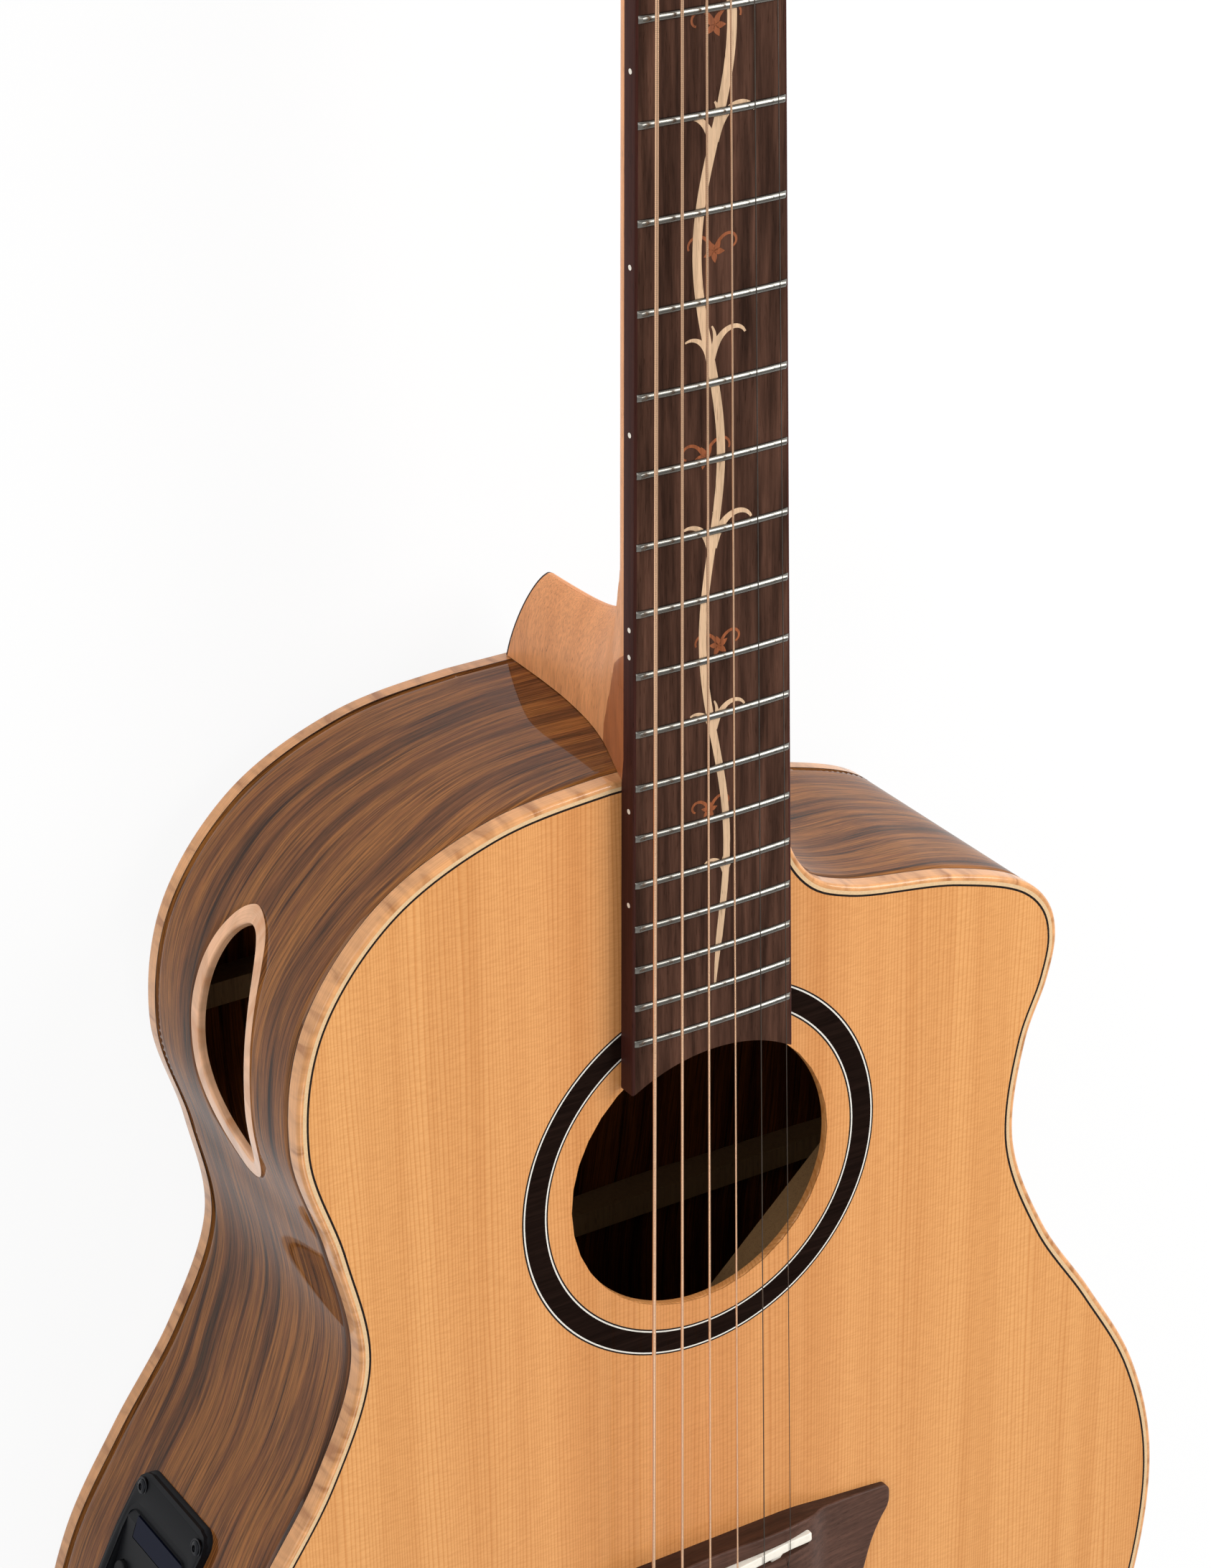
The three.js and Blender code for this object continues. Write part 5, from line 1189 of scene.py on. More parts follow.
heel_half_shares = [
    [0, 1], [0.145, 0.8], [0.27, 0.65], [0.395, 0.535], [0.515, 0.465], [0.61, 0.425], [0.715, 0.4],
    [1, 0.372],
]
facet_shares = [[0, 0.282], [0.19, 0.276], [0.47, 0.23], [0.83, 0.1585], [1.167, 0.099], [1.4, 0]]
head_half_shares = [[0.62, 0], [0.66, 0.07], [0.85, 0.15], [0.9, 0.25], [0.94, 0.6], [1, 0.94]]
head_tip_shares = [[0.93, 0.985], [0.5, 0.985], [0, 1]]
shaft_power, heel_power = 1.7, 1.76
heel_sweep, heel_fade, joint_gap = 81 * MM, 8.9 * MM, 0.3 * MM
nut_length = 5 * MM
facet_slope = 0.376


def face_y(neck):
    """Where the heel ends, a hair off the body."""
    return joint_y(neck) + joint_gap


def board_half(neck, y):
    """Half the fretboard's width, which widens evenly from the nut."""
    return (neck.nut_width + (neck.joint_width - neck.nut_width) * np.asarray(y) / joint_y(neck)) / 2


def board_top(neck, x):
    """Height of the fretboard's crown: a parabola close to its radius."""
    edge = neck.neck_rise + 0.3 * MM + neck.edge_thickness
    return edge + neck.joint_width**2 / (8 * neck.crown_radius) - np.asarray(x) ** 2 / (2 * neck.crown_radius)


def heel_half(neck, reach, depth):
    """Half the heel's width: its table at the body, drawn in along the neck by a rounded power curve."""
    below = np.minimum(neck.depth_at_heel - neck.neck_rise - depth, 0)
    sweep = neck.heel_length + heel_sweep * np.exp(below / heel_fade)
    share = np.clip(reach / sweep, 0, 1)
    half = neck.joint_width / 2 * eased(heel_half_shares, np.maximum(depth, 0) / neck.heel_depth)
    plain = half * (1 - share**heel_power) ** (1 / heel_power)
    crease = neck.heel_depth * np.interp(reach / neck.heel_length, *np.array(facet_shares).T)
    facet = neck.joint_width / 2 - facet_slope * np.minimum(depth, crease)
    at_crease = neck.joint_width / 2 * eased(heel_half_shares, np.maximum(crease, 0) / neck.heel_depth)
    sweep = neck.heel_length + heel_sweep
    at_crease = at_crease * (1 - np.clip(reach / sweep, 0, 1) ** heel_power) ** (1 / heel_power)
    spare = np.maximum(facet - at_crease, 0) * np.exp(-np.maximum(depth - crease, 0) / (5 * MM))
    flat = np.where(depth <= crease, facet, plain + spare)
    return np.where(crease > 0, np.maximum(flat, plain), plain)


def neck_sections(neck):
    """Places along the neck with the depth of each section: shaft, sweep into the heel, heel."""
    face = face_y(neck)
    limit = neck.heel_depth - neck.heel_rise - neck.cap_thickness + neck.neck_rise
    shaft_y = np.linspace(-0.0, face + neck.heel_length + heel_sweep, 40)[:-1]
    fade = np.linspace(0, (limit - neck.depth_at_heel) / heel_fade, 60)
    sweep_y = face + neck.heel_length + heel_sweep * np.exp(-fade)
    foot_y = face + neck.heel_length * np.sqrt(np.linspace(1, 0, 24))[1:]
    y = np.concatenate([shaft_y, sweep_y, foot_y])
    shaft = neck.depth_at_nut + (neck.depth_at_heel - neck.depth_at_nut) * np.clip(y / joint_y(neck), 0, 1)
    reach = y[-23:] - face
    foot = neck.heel_depth - neck.heel_rise * reach / neck.heel_length - neck.cap_thickness + neck.neck_rise
    full = np.concatenate([shaft[:39], neck.depth_at_heel + heel_fade * fade, foot])
    return y, np.maximum(full, shaft), shaft


def neck_half(neck, y, depth, shaft):
    """Half width of the neck at a depth: the rounder of the shaft and the heel, within the fretboard's."""
    share = np.clip(depth / shaft, 0, 1)
    round_half = board_half(neck, y) * (1 - share**shaft_power) ** (1 / shaft_power)
    reach = y - face_y(neck)
    half = np.maximum(round_half, heel_half(neck, reach, depth - neck.neck_rise))
    return np.minimum(np.maximum(half, 0.6 * MM), board_half(neck, np.minimum(y, 0)))


def to_head(neck, points):
    """Carry points drawn on the headstock's face to the neck: turned back about x at the nut's far side."""
    c, s = np.cos(neck.head_angle), np.sin(neck.head_angle)
    x, y, z = np.moveaxis(np.asarray(points, float), -1, 0)
    return np.stack([x, nut_length + y * c + z * s, neck.neck_rise - y * s + z * c], -1)


def neck_root(neck):
    """The shaft runs on under the nut and fades into the headstock's back."""
    run = np.linspace(0, 1, 12)
    y = 20 * MM * run
    sink = np.maximum(y - nut_length, 0) * np.tan(neck.head_angle)
    full = neck.depth_at_nut - sink * run * 0.4
    steps = np.sin(np.linspace(0, np.pi / 2, 29))
    depth = full[:, None] * steps
    share = np.clip(depth / neck.depth_at_nut, 0, 1)
    half = neck.nut_width / 2 * (1 - share**shaft_power) ** (1 / shaft_power)
    half = np.maximum(half, 0.6 * MM)
    return doubled(half, y[:, None], neck.neck_rise - depth - sink[:, None] - 0.02 * MM)


def headstock(neck):
    """The headstock: an outline through its shares with eased rims, under a thin veneer."""
    half, far = neck.head_width / 2, neck.head_length

    def rows(shares, side):
        return [[side * across * half, along * far] for across, along in shares]

    right = spline(rows(head_half_shares, 1), 6)
    left = spline(rows(head_half_shares, -1), 6)[::-1]
    tip = spline([right[-1], *rows(head_tip_shares, 1), *rows(head_tip_shares[:2], -1)[::-1], left[0]], 5)
    ring = np.vstack([right, tip[1:-1], left])
    wood = block(ring, -neck.head_thickness, -1.2 * MM, 1.2 * MM)
    veneer = block(ring, -1.2 * MM, 0.0, 0.5 * MM)
    return [surface(to_head(neck, wood)), surface(to_head(neck, veneer), 1)]


class GUITAR_OT_neck(bpy.types.Operator):
    """Carve the neck with its heel and headstock, and cap the heel"""

    bl_idname = "guitar.neck"
    bl_label = "Neck"

    def execute(self, context):
        neck = settings(context, "neck")
        y, full, shaft = neck_sections(neck)
        steps = np.sin(np.linspace(0, np.pi / 2, 29))
        depth = full[:, None] * steps
        half = neck_half(neck, y[:, None], depth, shaft[:, None])
        run = np.broadcast_to(y[:, None], half.shape)
        shell = doubled(half, run, neck.neck_rise - depth)
        reach = (run - face_y(neck)) / neck.heel_length
        crease = neck.heel_depth * np.interp(reach, *np.array(facet_shares).T)
        # The chart's second coordinate, depth less crease, marks the facet that satin_mahogany darkens as
        # painted shade.
        chart = np.stack([run, depth - crease], -1)
        chart = capped(closed(np.concatenate([chart, chart[:, ::-1]], axis=1)))
        root = neck_root(neck)
        head = headstock(neck)
        piece(
            "neck_carved", [surface(shell, 0, chart), surface(root), *head],
            ["satin_mahogany", "head_veneer"], "neck_wood", replaces=["neck"], sharp=24,
        )
        reach = np.linspace(1, 0, 30)[:, None] ** 0.6 * 0.997 * neck.heel_length
        low = neck.heel_depth - neck.heel_rise * reach / neck.heel_length
        rise = np.array([neck.cap_thickness, 0.35 * MM, 0.0])
        pull = np.array([0.0, 0.0, 0.35 * MM])
        level = low - rise
        wide = np.maximum(heel_half(neck, reach, level) - pull, 0.2 * MM)
        along = face_y(neck) + reach
        piece(
            "heel_cap_plate", [surface(doubled(wide, along, -level))],
            ["cap_wood"], "dark_wood", replaces=["heel_cap"],
        )
        return {"FINISHED"}


shoot_shares = [[0.1, 0.8], [0.24, 0.9], [0.39, 1.05], [0.53, 0.9], [0.66, 1.05], [0.79, 0.85], [0.9, 0.6]]
spray_shares = [[0.05, 0.9], [0.17, 1.0], [0.315, 1.0], [0.46, 1.0], [0.595, 1.0], [0.73, 0.95], [0.85, 0.8]]


def board_end(body, neck, x):
    """The board ends on the soundhole's circle, with rounded corners."""
    arc = -body.soundhole_from_nut + np.sqrt(body.soundhole_radius**2 - x**2)
    half = board_half(neck, arc)
    over = np.clip(np.abs(x) - (half - neck.corner_round), 0, neck.corner_round)
    return arc + neck.corner_round - np.sqrt(np.maximum(neck.corner_round**2 - over**2, 0))


def bound_board(body, neck):
    """Top and bottom sheets on the same lines: x is a share of the half width, y runs to the end."""
    bound = neck.bound_edge / (neck.joint_width / 2)
    rim = 0.5 * MM
    eased_edge = rim / (neck.joint_width / 2)
    inner = np.linspace(-1 + bound, 1 - bound, 33)
    ease = 1 - eased_edge * (1 - np.sin(np.linspace(0, np.pi / 2, 4)))
    shares = np.concatenate([-ease[::-1], inner, ease])
    fall = rim * (1 - np.sqrt(1 - ((ease - 1 + eased_edge) / eased_edge) ** 2))
    drop = np.concatenate([fall[::-1], np.zeros(len(inner)), fall])
    run = np.linspace(0, 1, 60)[:, None]
    guess = shares * neck.joint_width / 2
    far = board_end(body, neck, guess)
    y = -0.3 * MM * (1 - run) + far * run
    x = shares * board_half(neck, y)
    top = np.stack([x, y, board_top(neck, x) - drop], -1)
    low = np.where(y < joint_y(neck), 0.15 * MM, neck.neck_rise)
    tones = np.abs(shares[:-1] + shares[1:]) / 2 > 1 - bound
    bottom = np.stack([x, y, low], -1)
    piece(
        "fretboard_bound", walled(top, bottom, tones[None].astype(int), 1),
        ["fretboard_rosewood", "bound_edge_wood"], "dark_wood", replaces=["fretboard"],
    )


def fret_wires(neck):
    """Each fret is half an ellipse across, bent over the crown, with its ends cut back at a slant."""
    number = np.arange(1, neck.frets + 1)
    y = fret_y(neck, number)
    half = board_half(neck, y) - neck.fret_inset
    angle = np.linspace(0, np.pi, 9)
    across = -np.cos(angle) * neck.fret_width / 2
    rise = np.sin(angle) ** 0.8 * neck.fret_height
    cutback = 0.9 * MM
    tables = []
    for place, reach in zip(y, half):
        level = np.linspace(-reach + cutback, reach - cutback, 21)
        run = np.concatenate([[-reach, -reach], level, [reach, reach]])
        lift = np.concatenate([[-0.5, 0.12], np.ones(21), [0.12, -0.5]])
        x = np.broadcast_to(run[:, None], (25, 9))
        z = board_top(neck, x) + lift[:, None] * rise - 0.02 * MM
        tables.append(surface(np.stack([x, place + np.broadcast_to(across, (25, 9)), z], -1)))
    piece("fret_wires", tables, ["nickel_silver"], "steel", facing=(0, 0, 1), sharp=40)


def side_dots(neck):
    """Pale dots on the bass side's edge, and two at the octave."""
    number = np.array([3, 5, 7, 9, 12, 12, 15, 17])
    y = (fret_y(neck, number) + fret_y(neck, number - 1)) / 2
    y = y + np.array([0, 0, 0, 0, 4.2, -4.2, 0, 0]) * MM
    z = neck.neck_rise + 0.3 * MM + neck.edge_thickness * 0.52
    disc = turned([[neck.dot_radius, -0.3 * MM], [neck.dot_radius, 0.04 * MM], [0, 0.04 * MM]], 24)
    tables = []
    for place in y:
        spun = np.stack([-disc[..., 2], disc[..., 0], disc[..., 1]], -1)
        tables.append(surface(spun + [-float(board_half(neck, place)), place, z]))
    piece("side_dots", tables, ["polished_bone"], "bone", facing=(-1, 0, 0))


def vine_inlay(neck):
    """A waving stem with forked shoots and curled sprays: the stem's offset is a sum of two sines."""
    far = float(fret_y(neck, neck.frets - 0.5))
    t = np.linspace(0.012, 0.985, 420)
    y = far * t
    reach = 5.4 * MM * np.sqrt(1.15 - t)
    middle = reach * np.sin(2 * np.pi * (3.6 * t + 0.1)) + 1.8 * MM * np.sin(2 * np.pi * 1.3 * t)
    thick = 1.7 * MM * (1.05 - 0.4 * t) * np.minimum(1, (1 - t) * 20)
    pale, red = [ribbon(neck, np.stack([middle, y], -1), thick)], []
    for share, size in shoot_shares:
        i = int(np.searchsorted(t, share))
        root = np.array([middle[i], y[i]])
        side = 1 if middle[i] < 0 else -1
        for hand, part, bend in ((side, 1.0, 2.3), (-side, 0.7, 1.7), (side, 0.6, -0.9)):
            line = curl(root, hand, 19 * MM * size * part, 0.35, bend)
            taper = np.linspace(1, 0.16, len(line)) ** 0.8
            pale.append(ribbon(neck, line, 1.6 * MM * size * part**0.5 * taper, 0.01 * MM * part))
    for k, (share, size) in enumerate(spray_shares):
        i = int(np.searchsorted(t, share))
        side = 1 if middle[i] < 0 else -1
        root = np.array([middle[i] + side * 5.5 * MM, y[i]])
        for hand, bend in ((side, 3.9), (-side, 3.0)):
            line = curl(root, hand, 13 * MM * size, 0.5, bend)
            red.append(ribbon(neck, line, 0.6 * MM * np.linspace(1, 0.5, len(line)), -0.01 * MM))
        for turn in (-2.2, -0.9, 0.4, 1.7, 3.0):
            heading = np.array([np.cos(turn + k), np.sin(turn + k)])
            red.append(leaf(neck, root, heading, 3.6 * MM * size))
    piece("vine_stem", pale, ["pale_inlay_wood"], "maple", facing=(0, 0, 1))
    piece("vine_leaves", red, ["red_inlay_wood"], "dark_wood", facing=(0, 0, 1))


def curl(root, hand, size, start, bend):
    """A hook: its heading off the neck's line is the start plus the bend times the share squared."""
    u = np.linspace(0, 1, 34)
    heading = start + bend * u**2
    step = np.stack([hand * np.sin(heading), np.cos(heading)], -1) * size / len(u)
    return root + np.cumsum(step, axis=0)


def ribbon(neck, line, half, lift=0.0):
    """A band of changing half width on the crown, square to its own middle line."""
    way = np.gradient(line, axis=0)
    way /= np.linalg.norm(way, axis=1, keepdims=True)
    side = np.stack([-way[:, 1], way[:, 0]], -1)
    over = np.linspace(-1, 1, 4)
    flat = line[:, None] + side[:, None] * half[:, None, None] * over[None, :, None]
    z = board_top(neck, flat[..., 0]) + 0.03 * MM + lift
    return surface(np.concatenate([flat, z[..., None]], -1))


def leaf(neck, root, heading, size):
    """A pointed leaf: its half width is a sine of the share along it, fuller near the root."""
    heading = heading / np.linalg.norm(heading)
    side = np.array([-heading[1], heading[0]])
    u = np.linspace(0, 1, 16)
    half = 0.26 * size * np.sin(np.pi * u**0.8)
    over = np.linspace(-1, 1, 5)
    curve = 0.12 * size * u**2
    flat = root + u[:, None, None] * size * heading
    flat = flat + (half[:, None] * over + curve[:, None])[..., None] * side
    z = board_top(neck, flat[..., 0]) + 0.045 * MM
    return surface(np.concatenate([flat, z[..., None]], -1))


class GUITAR_OT_fretboard(bpy.types.Operator):
    """Lay the bound fretboard with its frets, side dots and an inlaid vine, and finish the nut"""

    bl_idname = "guitar.fretboard"
    bl_label = "Fretboard"

    def execute(self, context):
        body, neck = settings(context, "body", "neck")
        bound_board(body, neck)
        fret_wires(neck)
        side_dots(neck)
        vine_inlay(neck)
        wear("polished_bone", "nut")
        return {"FINISHED"}


# Bridge shares: along its half length; height, front edge and rear edge

bridge_height_shares = [
    [0, 1], [0.44, 0.99], [0.52, 0.85], [0.6, 0.55], [0.69, 0.43], [0.83, 0.33], [1, 0.24],
]
bridge_front_shares = [
    [0, 0], [0.42, 0], [0.5, 0.008], [0.58, 0.024], [0.66, 0.042], [0.76, 0.06], [0.86, 0.078], [0.97, 0.1],
    [0.99, 0.135], [1, 0.19],
]
bridge_rear_shares = [
    [0, 1], [0.7, 0.985], [0.8, 0.97], [0.844, 0.9], [0.859, 0.805], [0.885, 0.65], [0.919, 0.51],
    [0.951, 0.41], [0.982, 0.33], [1, 0.25],
]
saddle_slant = np.radians(3.2)


def string_places(strings):
    """Places of the strings across, from -1 for the thickest to 1."""
    return np.linspace(-1, 1, len(strings.radii))


def string_heights(neck, strings):
    """Undersides of the strings at the nut and at the saddle, from the crown, the frets and the action."""
    place = string_places(strings)
    at_nut = strings.spread_at_nut / 2 * place
    at_saddle = strings.spread_at_saddle / 2 * place
    nut_z = board_top(neck, at_nut) + 1.1 * MM + 0.45 * MM
    action = (2.3 + (1.7 - 2.3) * (place + 1) / 2) * MM
    saddle_z = 2 * (board_top(neck, (at_nut + at_saddle) / 2) + 1.1 * MM + action) - nut_z
    return at_nut, at_saddle, nut_z, saddle_z


def carved_bridge(strings):
    """Top sheet over the bridge's plan: height read from shares, rims eased by quarter circles."""
    share = np.sin(np.linspace(-np.pi / 2, np.pi / 2, 121))
    share = 0.5 * share + 0.5 * np.linspace(-1, 1, 121)
    at = np.abs(share)
    front = -strings.bridge_front - strings.bridge_width * np.interp(at, *np.array(bridge_front_shares).T)
    rear = -strings.bridge_front - strings.bridge_width * eased(bridge_rear_shares, at)
    high = 0.3 * MM + strings.bridge_height * eased(bridge_height_shares, at)
    ease = np.minimum(strings.bridge_round, (front - rear) / 3)
    angle = np.linspace(0, np.pi / 2, 6)
    y, z = [], []
    for turn in angle:
        y.append(front - ease * (1 - np.cos(turn)))
        z.append(high - ease * (1 - np.sin(turn)))
    middle = np.linspace(0, 1, 14)[1:-1]
    for t in middle:
        y.append(front - ease + (rear + ease - (front - ease)) * t)
        z.append(high)
    for turn in angle[::-1]:
        y.append(rear + ease * (1 - np.cos(turn)))
        z.append(high - ease * (1 - np.sin(turn)))
    y, z = np.stack(y, 1), np.stack(z, 1)
    tip = np.clip((1 - at) / 0.02, 0, 1)[:, None]
    z = z - strings.bridge_round * (1 - np.sqrt(np.clip(1 - (1 - tip) ** 2, 0, 1)))
    x = np.broadcast_to((share * strings.bridge_half)[:, None], y.shape)
    top = np.stack([x, y, z], -1)
    bottom = np.stack([x, y, np.full(y.shape, 0.02 * MM)], -1)
    # The walls take the darker flank copy of the bridge wood: painted shade on the front wall and flanks.
    made = piece(
        "bridge_carved", walled(top, bottom, 0, 1),
        ["bridge_rosewood", "bridge_flank_rosewood"], "dark_wood", replaces=["bridge"],
    )
    place = string_places(strings) * strings.spread_at_saddle / 2
    hole = capped(turned([[3 * MM, -1 * MM], [3 * MM, 12 * MM]], 24))
    tools = [surface(hole + [x0, -strings.pin_from_nut, 0]) for x0 in place]
    slot_half = strings.saddle_length / 2 + 0.2 * MM, strings.saddle_thickness / 2 + 0.15 * MM
    slot = block(rounded_rectangle(*slot_half, 1.2 * MM), 3 * MM, 14 * MM, 0.01 * MM)
    tools.append(surface(slot @ saddle_turn().T + [0, -strings.saddle_from_nut, 0]))
    cut(made, tools)


def saddle_turn():
    """Turn of the saddle about z."""
    c, s = np.cos(saddle_slant), np.sin(saddle_slant)
    return np.array([[c, -s, 0], [s, c, 0], [0, 0, 1]])


def saddle_bar(neck, strings):
    """Bone bar: upright in front, falling back behind the strings, notched behind the thin ones."""
    _, at_saddle, _, saddle_z = string_heights(neck, strings)
    half, thick = strings.saddle_length / 2, strings.saddle_thickness / 2
    level = np.linspace(-half + 1.2 * MM, half - 1.2 * MM, 90)
    x = np.concatenate([[-half, -half + 0.5 * MM], level, [half - 0.5 * MM, half]])
    top = np.interp(x, at_saddle, saddle_z) - 0.25 * MM
    ends = [-half, -half + 1.2 * MM, half - 0.6 * MM, half]
    top = top - np.interp(x, ends, [1.0 * MM, 0, 0, 0.4 * MM])
    notch = np.where((x > 10 * MM) & (x < 20 * MM), 1.3 * MM, 0.0) + np.where(x > 24 * MM, 1.3 * MM, 0.0)
    notch = notch + np.where((x > 24 * MM) & (x < 31.5 * MM), 1.0 * MM, 0.0)
    thin = np.interp(x, [-half, -half + 0.6 * MM, half - 0.4 * MM, half], [0.75, 1, 1, 0.9])
    over = np.array([1, 0.98, 0.93, 0.85, 0.6, 0.3, 0.0, -0.3, -0.6, -0.85, -0.95, -1])
    fall = np.array([0.5, 0.2, 0.06, 0, 0, 0, 0.02, 0.45, 1.0, 1.55, 1.8, 2.2]) * MM
    y = thick * thin[:, None] * over
    y = y + notch[:, None] * np.clip(-over, 0, 1)
    z = top[:, None] - fall
    wall_low = np.full(len(x), 4.2 * MM)
    front = np.stack([x, thick * thin, wall_low], -1)[:, None]
    rear = np.stack([x, -thick * thin + notch, wall_low], -1)[:, None]
    crown = np.stack([np.broadcast_to(x[:, None], y.shape), y, z], -1)
    table = capped(closed(np.concatenate([front, crown, rear], axis=1)))
    piece(
        "saddle_bone", [surface(table @ saddle_turn().T + [0, -strings.saddle_from_nut, 0])],
        ["polished_bone"], "bone", replaces=["saddle"], sharp=45,
    )


def bridge_pins(strings):
    """Turned pins with a domed head and a pale eye, each on its own body."""
    place = string_places(strings) * strings.spread_at_saddle / 2
    high = strings.bridge_height + 0.6 * MM
    head = strings.pin_head
    angle = np.linspace(0, np.pi / 2, 9)
    dome = np.stack([head * np.cos(angle), high + 1.4 * MM + 2.2 * MM * np.sin(angle)], -1)
    profile = [[0, high - 24 * MM], [2.1 * MM, high - 24 * MM], [2.7 * MM, high], [head * 0.8, high]]
    profile += [[head, high + 0.8 * MM], *dome.tolist()]
    eye = np.array([[0, 3.0], [1.1, 3.0], [1.1, 3.56], [0, 3.66]]) * MM + [0, high]
    for i, x0 in enumerate(place):
        number = len(place) - i
        at = [x0, -strings.pin_from_nut, 0]
        piece(
            f"pin_{number}", [surface(turned(profile, 32) + at), surface(turned(eye, 20) + at, 1)],
            ["turned_ebony", "polished_bone"], "dark_wood",
            body=f"bridge_pin_{number}_body", replaces=[f"bridge_pin_{number}"],
        )


class GUITAR_OT_bridge(bpy.types.Operator):
    """Carve the bridge, and set its saddle and pins"""

    bl_idname = "guitar.bridge"
    bl_label = "Bridge"

    def execute(self, context):
        neck, strings = settings(context, "neck", "strings")
        carved_bridge(strings)
        saddle_bar(neck, strings)
        bridge_pins(strings)
        wear("black_abs", "pickup")
        return {"FINISHED"}


def post_turns(neck, heads, i, radius, start):
    """Turns of a string round its post: a helix that starts where the straight run touches the post."""
    side, row = post_row(i)
    centre = post_place(heads, side, row)
    ring = waist_radius + 0.3 * MM + radius
    c, s = np.cos(neck.head_angle), np.sin(neck.head_angle)
    x, y, z = start - [0, nut_length, neck.neck_rise]
    flat = np.array([x, y * c - z * s]) - centre
    turn = -side
    first = np.arctan2(flat[1], flat[0]) + turn * np.arccos(ring / np.linalg.norm(flat))
    step = np.linspace(0, 1.5, 73)
    angle = first + turn * 2 * np.pi * step
    height = waist_top - radius - 0.45 * MM - (2 * radius + 0.45 * MM) * step
    points = np.stack([centre[0] + ring * np.cos(angle), centre[1] + ring * np.sin(angle), height], -1)
    return to_head(neck, points)


class GUITAR_OT_strings(bpy.types.Operator):
    """Run the six strings from their balls over saddle and nut to their posts"""

    bl_idname = "guitar.strings"
    bl_label = "Strings"

    def execute(self, context):
        neck, strings, heads = settings(context, "neck", "strings", "heads")
        at_nut, at_saddle, nut_z, saddle_z = string_heights(neck, strings)
        for i, radius in enumerate(strings.radii):
            x0, x1 = at_saddle[i], at_nut[i]
            drop_y = -strings.pin_from_nut + strings.pin_head + 0.3 * MM + radius
            saddle_y = -strings.saddle_from_nut + x0 * np.tan(saddle_slant)
            corners = [
                [x0, drop_y, -7.8 * MM],
                [x0, drop_y, strings.bridge_height + 0.3 * MM + radius],
                [x0, saddle_y, saddle_z[i] + radius],
                [x1, 0, nut_z[i] + radius],
                [x1, nut_length, nut_z[i] + radius],
            ]
            turns = post_turns(neck, heads, i, radius, np.array(corners[-1]))
            line = softened([*corners, turns[0]], 1.2 * MM, 5)[:-1]
            path = np.vstack([line, turns])
            level = to_head(neck, [0, 0, 1]) - to_head(neck, [0, 0, 0])
            way = np.gradient(path, axis=0)
            straight = (np.arange(len(path)) < len(line) - 2)[:, None]
            side = np.where(straight, [1.0, 0, 0], np.cross(way, level))
            skin = tube(path, radius, side, 14 if radius > 0.25 * MM else 10)
            ball = 1.7 * MM * np.array([[0, -1], [1, -1], [1, 1], [0, 1]])
            ball = turned(softened(ball, 0.4 * MM), 20)
            ball = np.stack([ball[..., 2], ball[..., 0], ball[..., 1]], -1) + corners[0]
            wound = i < strings.wound
            wire = "wound_bronze" if wound else "plain_steel"
            number = len(strings.radii) - i
            piece(
                f"string_line_{number}", [surface(capped(skin)), surface(ball, 1)], [wire, "nickel_silver"],
                "bronze" if wound else "steel", replaces=[f"string_{number}"],
            )
        return {"FINISHED"}


button_shares = [
    [0.0, 0], [0.32, 0], [0.42, 0.03], [0.72, 0.1], [0.93, 0.26], [1, 0.5], [0.95, 0.74], [0.78, 0.92],
    [0.45, 0.995], [0, 1],
]


# A post's waist, where its string winds
waist_radius = 2.5 * MM
waist_top = 14.5 * MM


def post_row(i):
    """Side of the headstock and row from the nut of a string, thickest first."""
    return (-1 if i < 3 else 1), min(i, 5 - i)


def post_place(heads, side, row):
    """Middle of a post on the headstock's face: each next pair stands further on and further out."""
    return np.array([
        side * (heads.first_out + heads.out_step * row), heads.first_post - nut_length + heads.pitch * row,
    ])


